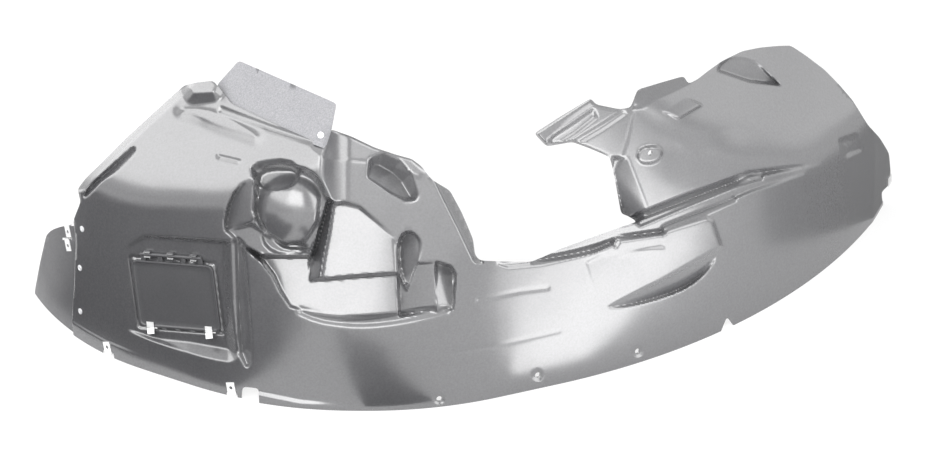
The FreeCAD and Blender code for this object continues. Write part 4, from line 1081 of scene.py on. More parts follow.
# The lid is a harder plastic with a duller skin, so that it reads darker and flatter than the shell.
LID = Plastic("lid_polypropylene", "#4c4c4e", "#434345", 0.38, 1.5, 0.6, 1.0, 0.04)
# The flap is a soft sheet whose satin skin shows only a broad fade from top to bottom.
FLAP = Plastic("flap_sheet", "#5c5c5e", "#4e4e50", 0.42, 1.5, 0.6, 1.2, 0.04)
# The seal strip is pale and rough with a fine pebble grain, so that it shows no reflections.
SEAL = Plastic("grained_seal_sheet", "#949496", "#76767a", 0.62, 1.5, 0.4, 0.8, 0.08)
# Passivated zinc has a milky layer over the metal, so it is bright from all sides.
SPRING_STEEL = Steel("zinc_plated_spring_steel", "#f4f4f4", 0.5, 0.45)
# Dull aluminium shows as small pale rings in the dark wall.
RIVET_METAL = Steel("aluminium_rivet", "#e6e6e8", 0.45, 0.55)


@dataclass
class LinerShell:
    """The moulded shell with its openings, screw holes and hinge hooks."""

    relief: Relief
    fine: float = 1.3
    back_fine: float = 2.6
    screw_radius: float = 3.2
    boss_hole: Point = (201, 296)
    vent: Point = (-76, 277)
    vent_radius: float = 1.6
    vent_sides: int = 16
    rim: Pixels = (
        (895, 152), (885, 137), (872, 124), (856, 99), (842, 83), (827, 68), (808, 54), (793, 44.2),
        (780, 44.7), (762, 46.5), (743, 50.5), (722, 61), (706, 72.5), (698, 79), (688, 84), (684, 76),
        (660, 83), (637, 90), (630, 108), (618, 109.6), (595, 105), (590.4, 98.9), (560, 117),
        (533.8, 134), (546, 147), (572, 142.5), (590, 149), (608.8, 157), (611, 163), (613.4, 174),
        (617, 192), (621, 213.7), (628, 216), (637, 221.6), (605.7, 232.3), (559, 249.3), (545, 256),
        (530.7, 261.8), (505, 261.5), (480, 260.4), (475, 255), (473, 239), (462, 213), (450, 190.7),
        (432, 180), (422, 167), (412.5, 159.5), (396, 155), (375, 148), (352, 137), (332, 130),
        (318, 143), (270, 122), (232, 104), (228, 98), (214, 81), (196, 83), (184, 86), (172, 97),
        (150, 117), (128, 137), (104, 161), (86, 178), (77.4, 189), (80.5, 202), (72.8, 220.5),
        (75, 240), (73, 285), (70, 322),
    )
    nut_notches: Sequence[float] = (108.0, 232.4)
    notch_half_width: float = 5.6
    notch_rows: float = 4.2
    notch_slant: float = 0.2
    notch_gap: float = 0.8
    lip_spacing: float = 2.0
    lip: Sequence[tuple[float, Optional[float]]] = (
        (72, None), (242, None), (243, 386.5), (259, 388), (259.5, None), (722, None), (728, 317),
        (735, 327), (737, None), (889.2, None), (887, 191.5), (895.6, 184), (897, 171),
    )

    def outline(self) -> tuple[Array, Array]:
        """The shell's edge and which of its points stand on the floor.

        Returns:
            The points in mm of the draw plane, and one mark for each.
        """
        marked = [(column, row, False) for column, row in self.rim]
        marked.append((self.lip[0][0], None, True))
        for middle in self.nut_notches:
            left, right = middle - self.notch_half_width, middle + self.notch_half_width
            if right > self.lip[1][0]:
                right = self.lip[1][0] - self.notch_gap
            marked.append((left, None, True))
            marked += [(column, self.lip_row(column) - self.notch_rows, False)
                       for column in (left + self.notch_slant, right - self.notch_slant)]
            marked.append((right, None, True))
        marked += [(column, row, row is None) for column, row in self.lip[1:]]
        points, on_floor = [], []
        for (column, row, floor), (following, _, then_floor) in zip(marked, [*marked[1:], marked[0]]):
            points.append((column, self.lip_row(column) if floor else row))
            on_floor.append(floor)
            if floor and then_floor:
                step = self.lip_spacing
                between = np.arange(column + step, following - step / 2, step)
                points += [(part_way, self.lip_row(part_way)) for part_way in between]
                on_floor += [True] * len(between)
        return self.with_even_points(placed(points), np.array(on_floor))

    def lip_row(self, column: float) -> float:
        """The row at which the plain lip is seen in a column."""
        return LIP_ROW - float(self.relief.wall.plan_depth(place(column, 0)[0])) * UP / PIXEL

    def with_even_points(self, points: Array, on_floor: Array) -> tuple[Array, Array]:
        """More points on the edge's long runs, with the corners off the lip softened.

        Args:
            points: the edge's points.
            on_floor: which of them stand on the floor.

        Returns:
            The new points, and which of them stand on the floor.
        """
        made, floor = [], []
        for start, end, here, there in zip(points, np.roll(points, -1, 0), on_floor, np.roll(on_floor, -1)):
            parts = max(1, int(round(np.linalg.norm(end - start) / EDGE_SPACING)))
            made += [start + (end - start) * k / parts for k in range(parts)]
            floor += [bool(here and (there or k == 0)) for k in range(parts)]
        made, floor = np.array(made), np.array(floor)
        for _ in range(SOFTENING_ROUNDS):
            made = np.where(floor[:, None], made, softened(made))
        return made, floor

    def hatch_loop(self, lid: "HatchLid") -> Loop:
        """The opening under the lid, with slots for the two clips.

        Args:
            lid: the lid over the opening.

        Returns:
            The opening's edge on both sides.
        """
        wide, high = lid.width / 2 - lid.margin, lid.height / 2 - lid.margin
        slot, drop = lid.clip_spacing / 2 - lid.clip_slack, lid.height / 2 + lid.margin / 3
        corners = [(-wide, high), (-wide, -drop), (-slot, -drop), (-slot, -high),
                   (slot, -high), (slot, -drop), (wide, -drop), (wide, high)]
        loop = resampled(np.array([on_draw_plane(lid.frame, *corner) for corner in corners]))
        return Loop(loop, loop.copy())

    def build(self, lid: "HatchLid") -> Piece:
        """Make the shell with the lid's hooks on it.

        Args:
            lid: the lid whose hooks the shell carries.

        Returns:
            The shell.
        """
        maker = SheetMaker(self.relief.field, self.relief.field.sunk(SHEET))
        loops = [maker.edge_loop(*self.outline()), self.hatch_loop(lid)]
        loops += [maker.round_hole(centre, self.screw_radius) for centre in (*LIP_SCREWS, self.boss_hole)]
        loops.append(maker.round_hole(self.vent, self.vent_radius, self.vent_sides))
        shell = maker.solid("shell", loops, self.fine, self.back_fine)
        join(shell, lid.hooks())
        smooth_shade(shell)
        shell.data.materials.append(MOULDING.material())
        return shell


def join(first: Piece, *others: Piece) -> None:
    """Join other objects' meshes into the first."""
    with bpy.context.temp_override(active_object=first, selected_editable_objects=[first, *others]):
        bpy.ops.object.join()


@dataclass
class HatchLid:
    """The hatch lid with its rim, hinge bar and webs, in mm of the hatch frame."""

    relief: Relief
    width: float = 106.0
    height: float = 83.0
    corner: float = 8.0
    plate: float = 2.5
    rim: float = 1.2
    rim_width: float = 3.0
    margin: float = 9.0
    bar_radius: float = 2.0
    bar_length: float = 80.0
    hinge_rise: float = 8.0
    hook_width: float = 8.0
    hook_spacing: float = 30.0
    hook_wall: float = 2.0
    hook_mouth: float = 0.8
    hook_steps: int = 20
    clearance: float = 0.4
    web: float = 6.0
    web_overlap: float = 1.5
    web_bevel: float = 0.5
    smallest_corner: float = 0.6
    clip_spacing: float = 76.0
    clip_slack: float = 6.0

    @property
    def frame(self) -> Matrix:
        """The hatch frame in the part's frame, for lengths in metres."""
        return self.relief.seat.frame(self.relief.wall)

    @property
    def axis(self) -> Point:
        """Where the hinge axis lies, as (y, z) of the hatch frame."""
        return self.height / 2 + self.hinge_rise, SEAT_GAP + self.bar_radius + self.clearance

    def rounded(self, inset: float, z: float, count: int = 8) -> list[Vector]:
        """A rounded rectangle inside the lid's edge at one height.

        Args:
            inset: how far inside the edge.
            z: the height.
            count: steps in each corner.

        Returns:
            The points in order.
        """
        radius = max(self.corner - inset, self.smallest_corner)
        half_x, half_y = self.width / 2 - inset - radius, self.height / 2 - inset - radius
        points = []
        for turn, (sx, sy) in enumerate(((1, 1), (-1, 1), (-1, -1), (1, -1))):
            for k in range(count + 1):
                angle = math.pi / 2 * (turn + k / count)
                points.append(Vector((sx * half_x + radius * math.cos(angle),
                                      sy * half_y + radius * math.sin(angle), z)))
        return points

    def panel(self) -> Piece:
        """The plate with a rounded rim, as stacked rings: how far in and how high each one lies.

        Returns:
            The panel in its place.
        """
        face, wide = SEAT_GAP + self.plate, self.rim_width
        top = face + self.rim
        profile = ((1.0, SEAT_GAP), (0.0, SEAT_GAP + 0.7), (0.0, top - 0.8), (0.25, top - 0.25), (0.8, top),
                   (wide - 1.1, top), (wide - 0.4, top - 0.3), (wide, face + 0.25), (wide + 0.6, face),
                   (wide + 6.0, face))
        return self.seated(ring_stack("lid_panel", [self.rounded(inset, z) for inset, z in profile]))

    def hinge(self) -> list[Piece]:
        """The hinge bar and the webs that carry it.

        Returns:
            The bar and four webs in their places.
        """
        y, z = self.axis
        bar = rod("lid_bar", Vector((-self.bar_length / 2, y, z)), Vector((1, 0, 0)), self.bar_radius,
                  self.bar_length)
        near, outer = self.hook_spacing / 2, self.bar_length / 2 - self.web / 2
        sides = (self.web, self.hinge_rise + self.web_overlap, self.plate)
        start_y = self.height / 2 - self.web_overlap
        webs = [block(f"lid_web_{number}", (middle - self.web / 2, start_y, SEAT_GAP), sides, self.web_bevel)
                for number, middle in enumerate((-outer, -near, near, outer), start=1)]
        return [self.seated(part) for part in (bar, *webs)]

    def hooks(self) -> Piece:
        """The shell's three hooks round the hinge bar, each open outwards.

        Returns:
            The hooks as one object.
        """
        y, z = self.axis
        inner, outer = self.bar_radius + self.clearance, self.bar_radius + self.clearance + self.hook_wall
        mouth = math.asin(self.hook_mouth * self.bar_radius / inner)
        steps = self.hook_steps
        sweep = [math.pi / 2 + mouth + (2 * math.pi - 2 * mouth) * k / steps for k in range(steps + 1)]
        ring = [(inner * math.cos(a), inner * math.sin(a)) for a in sweep]
        ring += [(outer * math.cos(a), outer * math.sin(a)) for a in reversed(sweep)]
        profile = [(y + a, max(z + b, -SHEET / 2)) for a, b in ring]
        count = len(profile)
        sides = [[i, (i + 1) % count, (i + 1) % count + count, i + count] for i in range(count)]
        caps = [[i, i + 1, count - 2 - i, count - 1 - i] for i in range(count // 2 - 1)]
        ends = [face[::-1] for face in caps] + [[count + i for i in face] for face in caps]
        parts = []
        for number in (-1, 0, 1):
            start = number * self.hook_spacing - self.hook_width / 2
            points = [Vector((start + side * self.hook_width, a, b)) for side in (0, 1) for a, b in profile]
            parts.append(self.seated(object_from(f"hook_{number + 2}", points, sides + ends)))
        join(parts[0], *parts[1:])
        recalculate(parts[0])
        return parts[0]

    def seated(self, made: Piece) -> Piece:
        """Move a mesh from mm of the hatch frame to its place on the part."""
        made.data.transform(self.frame @ Matrix.Scale(MM, 4))
        return made

    def build(self) -> Piece:
        """The whole lid as one piece.

        Returns:
            The lid.
        """
        lid = self.panel()
        join(lid, *self.hinge())
        recalculate(lid)
        lid.name = "hatch_lid"
        smooth_shade(lid)
        lid.data.materials.append(LID.material())
        return lid


def recalculate(made: Piece) -> None:
    """Turn every face of closed parts outwards.

    Args:
        made: the object whose mesh is changed.
    """
    mesh = bmesh.new()
    mesh.from_mesh(made.data)
    bmesh.ops.recalc_face_normals(mesh, faces=mesh.faces)
    mesh.to_mesh(made.data)
    mesh.free()


def ring_stack(name: str, rings: Sequence[Sequence[Vector]]) -> Piece:
    """A closed solid through a stack of rings with the same number of points.

    Args:
        name: the object's name.
        rings: the rings' points from one end to the other.

    Returns:
        The solid.
    """
    count = len(rings[0])
    points = [point for ring in rings for point in ring]
    faces = []
    for level in range(len(rings) - 1):
        low, high = level * count, (level + 1) * count
        faces += [[low + i, low + (i + 1) % count, high + (i + 1) % count, high + i] for i in range(count)]
    faces.append(list(range(count))[::-1])
    faces.append([(len(rings) - 1) * count + i for i in range(count)])
    return object_from(name, points, faces)


def rod(name: str, start: Vector, along: Vector, radius: float, length: float, ease: float = 0.4) -> Piece:
    """A round bar with softened ends.

    Args:
        name: the object's name.
        start: the middle of one end.
        along: the bar's direction.
        radius, length: its sizes.
        ease: how far its ends are softened.

    Returns:
        The bar.
    """
    turn = along.to_track_quat("Z", "Y").to_matrix()
    turns = [2 * math.pi * k / ROUND_SIDES for k in range(ROUND_SIDES)]
    rings = [[start + turn @ Vector(((radius - inset) * math.cos(a), (radius - inset) * math.sin(a), z))
              for a in turns]
             for inset, z in ((ease, 0.0), (0.0, ease), (0.0, length - ease), (ease, length))]
    return ring_stack(name, rings)


def block(name: str, corner: Sequence[float], sides: Sequence[float], bevel: float) -> Piece:
    """A box with softened edges.

    Args:
        name: the object's name.
        corner: its lowest corner.
        sides: its three sides.
        bevel: how far its edges are softened.

    Returns:
        The box.
    """
    mesh = bmesh.new()
    bmesh.ops.create_cube(mesh, size=1.0)
    for vertex in mesh.verts:
        vertex.co = Vector([corner[k] + (vertex.co[k] + 0.5) * sides[k] for k in range(3)])
    bmesh.ops.bevel(mesh, geom=mesh.edges, offset=bevel, segments=2, affect="EDGES", profile=0.5)
    data = bpy.data.meshes.new(name)
    mesh.to_mesh(data)
    mesh.free()
    return linked(name, data)


@dataclass
class BackSheets:
    """The flap behind the front end and the seal strip behind the rim."""

    relief: Relief
    flap_outline: Sequence[Point] = (
        (-431, 213), (-476, 212), (-488, 208), (-495, 202), (-503, 170), (-510, 136), (-509, 125),
        (-506, 117), (-473, 91), (-462, 62), (-455, 40), (-431, 40),
    )
    seal_outline: Sequence[Point] = (
        (-271, 402), (-158, 352), (-164, 321), (-171, 300), (-283, 345), (-296, 357), (-296, 374),
    )
    flap_slot: Sequence[Point] = ((-475.6, 196.2), (-464.4, 196.2), (-464.4, 198.6), (-475.6, 198.6))
    flap_thickness: float = 2.2
    seal_thickness: float = 2.6
    fine: float = 2.3
    back_fine: float = 3.4

    def sheet(self, name: str, surface: HeightField, outline: Sequence[Point], thickness: float,
              slots: Sequence[Sequence[Point]] = ()) -> Piece:
        """A sheet that lies behind a surface with the seat gap between them.

        Args:
            name: the object's name.
            surface: what the sheet lies behind.
            outline: its corners in the draw plane.
            thickness: in mm.
            slots: the corners of each slot.

        Returns:
            The sheet.
        """
        front = surface.sunk(SHEET + SEAT_GAP)
        maker = SheetMaker(front, front.sunk(thickness))
        edge = resampled(np.array(outline, float))
        for _ in range(SOFTENING_ROUNDS):
            edge = softened(edge)
        loops = [maker.edge_loop(edge, np.zeros(len(edge), bool))]
        for slot in slots:
            hole = resampled(np.array(slot, float))
            loops.append(Loop(hole, hole.copy()))
        made = maker.solid(name, loops, self.fine, self.back_fine)
        smooth_shade(made)
        return made

    def build(self) -> tuple[Piece, Piece]:
        """Both sheets.

        Returns:
            The flap and the seal strip.
        """
        wall = HeightField(self.relief.x, self.relief.v, self.relief.ground)
        flap = self.sheet("flap", wall, self.flap_outline, self.flap_thickness, [self.flap_slot])
        seal = self.sheet("seal", self.relief.plain, self.seal_outline, self.seal_thickness)
        flap.data.materials.append(FLAP.material())
        seal.data.materials.append(SEAL.material())
        return flap, seal


class FastenerTree:
    """A geometry node tree that sets one small part on every point of a mesh."""

    sharp_angle: float = 35.0

    def __init__(self, name: str, sizes: dict[str, float]) -> None:
        """Make the tree with one named input in mm for every size.

        Args:
            name: the tree's name.
            sizes: each input's name and value in mm.
        """
        self.tree = bpy.data.node_groups.new(name, "GeometryNodeTree")
        for side in ("OUTPUT", "INPUT"):
            self.tree.interface.new_socket("Geometry", in_out=side, socket_type="NodeSocketGeometry")
        self.sizes = sizes
        self.identifiers = {
            size_name: self.tree.interface.new_socket(
                size_name, in_out="INPUT", socket_type="NodeSocketFloat").identifier
            for size_name in sizes}
        self.inputs = add_node(self.tree, "NodeGroupInput").outputs

    def size(self, *terms: str | tuple[str, float], plus: float = 0.0) -> Socket:
        """A sum of named sizes in metres. A name alone counts once, or it comes with its factor.

        Args:
            terms: the names, each alone or with its factor.
            plus: a length in mm to add.

        Returns:
            The sum as a socket.
        """
        total = plus * MM
        for term in terms:
            size_name, factor = (term, 1) if isinstance(term, str) else term
            term_node = add_node(self.tree, "ShaderNodeMath", {
                0: self.inputs[size_name], 1: factor * MM, 2: total}, operation="MULTIPLY_ADD")
            total = term_node.outputs[0]
        return total

    def box(self, sides: Sequence[object], middle: Sequence[object]) -> Socket:
        """A box with the given sides about a middle.

        Args:
            sides: its three sides.
            middle: where it lies.

        Returns:
            The box.
        """
        size = add_node(self.tree, "ShaderNodeCombineXYZ", dict(enumerate(sides)))
        cube = add_node(self.tree, "GeometryNodeMeshCube", {"Size": size.outputs[0]})
        return self.moved(cube.outputs["Mesh"], middle)

    def rod(self, radius: object, length: object, middle: Sequence[object]) -> Socket:
        """A round bar along Z about a middle.

        Args:
            radius, length: its sizes.
            middle: where it lies.

        Returns:
            The bar.
        """
        bar = add_node(self.tree, "GeometryNodeMeshCylinder",
                       {"Vertices": ROUND_SIDES, "Radius": radius, "Depth": length})
        return self.moved(bar.outputs["Mesh"], middle)

    def swept(self, radius: object, profile: Socket, middle: Sequence[object]) -> Socket:
        """A profile swept round a circle about Z.

        Args:
            radius: the circle's radius.
            profile: the curve that is swept.
            middle: where it lies.

        Returns:
            The swept part.
        """
        circle = add_node(self.tree, "GeometryNodeCurvePrimitiveCircle",
                          {"Resolution": ROUND_SIDES, "Radius": radius})
        made = add_node(self.tree, "GeometryNodeCurveToMesh",
                        {"Curve": circle.outputs["Curve"], "Profile Curve": profile})
        return self.moved(made.outputs["Mesh"], middle)

    def tube(self, radius: object, wall: object, length: object, middle: Sequence[object]) -> Socket:
        """A bored barrel along Z: a rectangle swept round a circle.

        Args:
            radius: the circle that the wall's middle follows.
            wall, length: its thickness and its height.
            middle: where it lies.

        Returns:
            The barrel.
        """
        profile = add_node(self.tree, "GeometryNodeCurvePrimitiveQuadrilateral",
                           {"Width": wall, "Height": length})
        return self.swept(radius, profile.outputs["Curve"], middle)

    def ring(self, radius: object, thickness: object, middle: Sequence[object]) -> Socket:
        """A round wire bent to a circle.

        Args:
            radius: the circle's radius.
            thickness: the wire's radius.
            middle: where it lies.

        Returns:
            The ring.
        """
        wire = add_node(self.tree, "GeometryNodeCurvePrimitiveCircle",
                        {"Resolution": WIRE_SIDES, "Radius": thickness})
        return self.swept(radius, wire.outputs["Curve"], middle)

    def moved(self, part: Socket, shift: Sequence[object], turn: Spot = (0, 0, 0)) -> Socket:
        """A part turned by Euler angles and moved.

        Args:
            part: what is moved.
            shift: how far.
            turn: its angles.

        Returns:
            The moved part.
        """
        move = add_node(self.tree, "ShaderNodeCombineXYZ", dict(enumerate(shift)))
        turned = add_node(self.tree, "GeometryNodeTransform",
                          {"Geometry": part, "Translation": move.outputs[0], "Rotation": turn})
        return turned.outputs["Geometry"]

    def cut(self, part: Socket, tool: Socket) -> Socket:
        """A part with the tool cut out of it.

        Args:
            part: what is cut.
            tool: what it is cut with.

        Returns:
            What is left.
        """
        node = add_node(self.tree, "GeometryNodeMeshBoolean", operation="DIFFERENCE")
        self.tree.links.new(part, node.inputs["Mesh 1"])
        self.tree.links.new(tool, node.inputs["Mesh 2"])
        return node.outputs["Mesh"]

    def finish(self, parts: Sequence[Socket], material: bpy.types.Material) -> None:
        """Join the parts, set them on the points and give them their material.

        Args:
            parts: the parts of one fastener.
            material: their finish.
        """
        joined = add_node(self.tree, "GeometryNodeJoinGeometry")
        for part in parts:
            self.tree.links.new(part, joined.inputs["Geometry"])
        turn = add_node(self.tree, "GeometryNodeInputNamedAttribute", {"Name": "turn"},
                        data_type="FLOAT_VECTOR")
        rotation = add_node(self.tree, "FunctionNodeEulerToRotation", {"Euler": turn.outputs["Attribute"]})
        copies = add_node(self.tree, "GeometryNodeInstanceOnPoints",
                          {"Points": self.inputs["Geometry"], "Instance": joined.outputs["Geometry"],
                           "Rotation": rotation.outputs["Rotation"]})
        real = add_node(self.tree, "GeometryNodeRealizeInstances", {"Geometry": copies.outputs["Instances"]})
        coated = add_node(self.tree, "GeometryNodeSetMaterial",
                          {"Geometry": real.outputs["Geometry"], "Material": material})
        add_node(self.tree, "NodeGroupOutput", {"Geometry": coated.outputs["Geometry"]})

    def on_points(self, name: str, frames: Sequence[Matrix]) -> Piece:
        """The finished pieces, one at every frame, as one plain mesh.

        Args:
            name: the object's name.
            frames: where each piece stands.

        Returns:
            The pieces as one object.
        """
        points = object_from(name + "_points", [spot.to_translation() for spot in frames], [])
        turns = points.data.attributes.new("turn", "FLOAT_VECTOR", "POINT")
        for number, spot in enumerate(frames):
            turns.data[number].vector = spot.to_euler("XYZ")
        modifier = points.modifiers.new("fasteners", "NODES")
        modifier.node_group = self.tree
        for size_name, value in self.sizes.items():
            modifier[self.identifiers[size_name]] = value
        seen = points.evaluated_get(bpy.context.evaluated_depsgraph_get())
        made = linked(name, bpy.data.meshes.new_from_object(seen))
        bpy.data.objects.remove(points)
        smooth_shade(made, self.sharp_angle)
        return made


@dataclass
class Fasteners:
    """The rivets, spring nuts and lid clips, each kind a node tree on its own points."""

    relief: Relief
    lid: HatchLid
    rivets: Sequence[Point] = ((-452, 209), (-455, 164), (-455, 114), (-176, 316))
    flap_nuts: Sequence[Point] = ((-470, 212), (-470, 196))
    lip_nuts: Sequence[float] = (-422, -279)
    lip_nut_height: float = 4.2
    rear_nut: Point = (485.3, 268)
    clearance: float = 0.15
    steel: float = 0.8
    drill_length: float = 0.04
    tab_turn: Spot = (math.radians(-24), 0, math.radians(10))
    height_rounds: int = 12

    def on_surface(self, field: HeightField, x: float, v: float, towards: Spot) -> Matrix:
        """Frame on a surface in the part's frame: Z outwards, Y as near as it goes to a direction.

        Args:
            field: the surface.
            x, v: the place on it.
            towards: the direction.

        Returns:
            The frame as a matrix.
        """
        z_axis, y_axis = direction(*field.normal(x, v)), direction(*towards)
        y_axis = (y_axis - z_axis * y_axis.dot(z_axis)).normalized()
        return frame_at(to_part(x, v, field.sample(x, v)), y_axis, z_axis)

    def build_rivets(self) -> Piece:
        """Blind rivets: a flange with a round rim, a hollow shank and a flat tail.

        Returns:
            The rivets.
        """
        tree = FastenerTree("blind_rivet", {
            "Head Radius": 3.6, "Flange": 0.5, "Rim": 0.55, "Shank Radius": 1.6, "Grip": 5.4, "Tail": 1.0})
        size, gap = tree.size, self.clearance
        tree.finish([
            tree.rod(size("Head Radius"), size("Flange"), (0, 0, size(("Flange", 0.5), plus=gap))),
            tree.ring(size(("Head Radius", 0.58)), size("Rim"), (0, 0, size("Flange", plus=gap))),
            tree.tube(size(("Shank Radius", 0.75)), size(("Shank Radius", 0.5)), size("Grip"),
                      (0, 0, size(("Grip", -0.5), ("Flange", 0.5)))),
            tree.rod(size(("Head Radius", 0.85)), size("Tail"),
                     (0, 0, size(("Grip", -1), ("Tail", -0.5), plus=-gap))),
        ], RIVET_METAL.material())
        frames = [self.on_surface(self.relief.field, x, v, (0, 1, 0)) for x, v in self.rivets]
        return tree.on_points("rivets", frames)

    def build_nuts(self) -> Piece:
        """Spring nuts: two leaves, a fold and a bored barrel behind, over the edge of a sheet.

        Returns:
            The spring nuts.
        """
        tree = FastenerTree("spring_nut", {
            "Width": 10.0, "Reach": 13.0, "Steel": self.steel, "Gap": SHEET + 2 * self.clearance,
            "Run": 1.2, "Barrel Radius": 4.0, "Barrel Height": 4.0, "Bore Radius": 2.2})
        size, gap = tree.size, self.clearance
        length = size("Reach", "Run", "Steel")
        middle = size(("Reach", -0.5), ("Run", 0.5), ("Steel", 0.5))
        width, steel, bore_middle = size("Width"), size("Steel"), size(("Reach", -0.5))
        drill = tree.rod(size("Bore Radius"), self.drill_length, (0, bore_middle, 0))
        front = tree.box((width, length, steel), (0, middle, size(("Steel", 0.5), plus=gap)))
        back = tree.box((width, length, steel), (0, middle, size(("Gap", -1), ("Steel", -0.5), plus=gap)))
        fold = tree.box((width, steel, size("Gap", "Steel")),
                        (0, size("Run", ("Steel", 0.5)), size(("Gap", -0.5), plus=gap)))
        barrel_middle = size(("Gap", -1), ("Steel", -1), ("Barrel Height", -0.5), plus=gap)
        barrel = tree.tube(size(("Barrel Radius", 0.5), ("Bore Radius", 0.5)),
                           size("Barrel Radius", ("Bore Radius", -1)), size("Barrel Height"),
                           (0, bore_middle, barrel_middle))
        tree.finish([tree.cut(front, drill), tree.cut(back, drill), fold, barrel], SPRING_STEEL.material())
        relief = self.relief
        behind = HeightField(relief.x, relief.v, relief.ground).sunk(SHEET + SEAT_GAP)
        frames = [self.on_surface(behind, x, v, (0, 1, 0)) for x, v in self.flap_nuts]
        frames += [self.on_surface(relief.field, x, self.row_at_height(x), (0, -1, 0))
                   for x in self.lip_nuts]
        frames.append(self.on_surface(relief.field, *self.rear_nut, (1, 0, 0)))
        return tree.on_points("spring_nuts", frames)

    def row_at_height(self, x: float) -> float:
        """The draw-plane row at which the wall stands the lip nuts' height above the floor.

        Args:
            x: the nut's place along the lip.

        Returns:
            The row in mm.
        """
        v = 0.0
        for _ in range(self.height_rounds):
            v = (self.lip_nut_height - float(self.relief.field.sample(x, v)) * UP) / ACROSS
        return v

    def build_clips(self) -> Piece:
        """Sheet clips over the lid's lower edge, each with a finger tab that is bent outwards.

        Returns:
            The two clips.
        """
        lid = self.lid
        tree = FastenerTree("lid_clip", {
            "Width": 9.0, "Reach": 7.0, "Steel": self.steel, "Tab": 7.0,
            "Gap": lid.plate + lid.rim + 2 * self.clearance})
        size = tree.size
        width, steel = size("Width"), size("Steel")
        length, middle = size("Reach", "Steel"), size(("Reach", 0.5), ("Steel", -0.5))
        top, half_behind = size("Gap", ("Steel", 0.5)), size(("Steel", -0.5))
        front = tree.box((width, length, steel), (0, middle, top))
        back = tree.box((width, length, steel), (0, middle, half_behind))
        fold = tree.box((width, steel, size("Gap", ("Steel", 2))), (0, half_behind, size(("Gap", 0.5))))
        tab = tree.box((width, size("Tab"), steel), (0, size(("Tab", -0.5)), 0))
        tab = tree.moved(tab, (0, half_behind, top), self.tab_turn)
        tree.finish([front, back, fold, tab], SPRING_STEEL.material())
        y, z = -lid.height / 2 - self.clearance, SEAT_GAP - self.clearance
        spots = [Vector((side * lid.clip_spacing / 2, y, z)) * MM for side in (-1, 1)]
        return tree.on_points("lid_clips", [lid.frame @ Matrix.Translation(spot) for spot in spots])


@dataclass(frozen=True)
class Panel:
    """A flat light that the camera doesn't see, just over the floor: lengths in metres. One with little or
    no radiance is a dark sheet that paints shade into the shell's reflections of the floor.
    """

    name: str
    corners: Sequence[Point]
    radiance: float
    height: float = 0.004


@dataclass(frozen=True)
class CurvedBox:
    """A soft box bent round the object, out of the camera's sight.

    Azimuths are degrees from the camera's side, positive to the right, and heights are degrees up.
    """

    name: str
    azimuths: Point
    heights: Point
    radiance: float
    distance: float = 2.4

    def corners(self, steps: int = 12) -> tuple[list[Spot], list[list[int]]]:
        """Points of the face in metres and its quads, turned to the object.

        Args:
            steps: quads along each side.

        Returns:
            The points and the quads.
        """
        points = []
        for j in range(steps + 1):
            up = math.radians(self.heights[0] + (self.heights[1] - self.heights[0]) * j / steps)
            for i in range(steps + 1):
                turn = math.radians(self.azimuths[0] + (self.azimuths[1] - self.azimuths[0]) * i / steps)
                x, y, z = math.cos(up) * math.sin(turn), -math.cos(up) * math.cos(turn), math.sin(up)
                points.append((self.distance * x, self.distance * y, self.distance * z))
        row = steps + 1
        faces = [[j * row + i, (j + 1) * row + i, (j + 1) * row + i + 1, j * row + i + 1]
                 for j in range(steps) for i in range(steps)]
        return points, faces


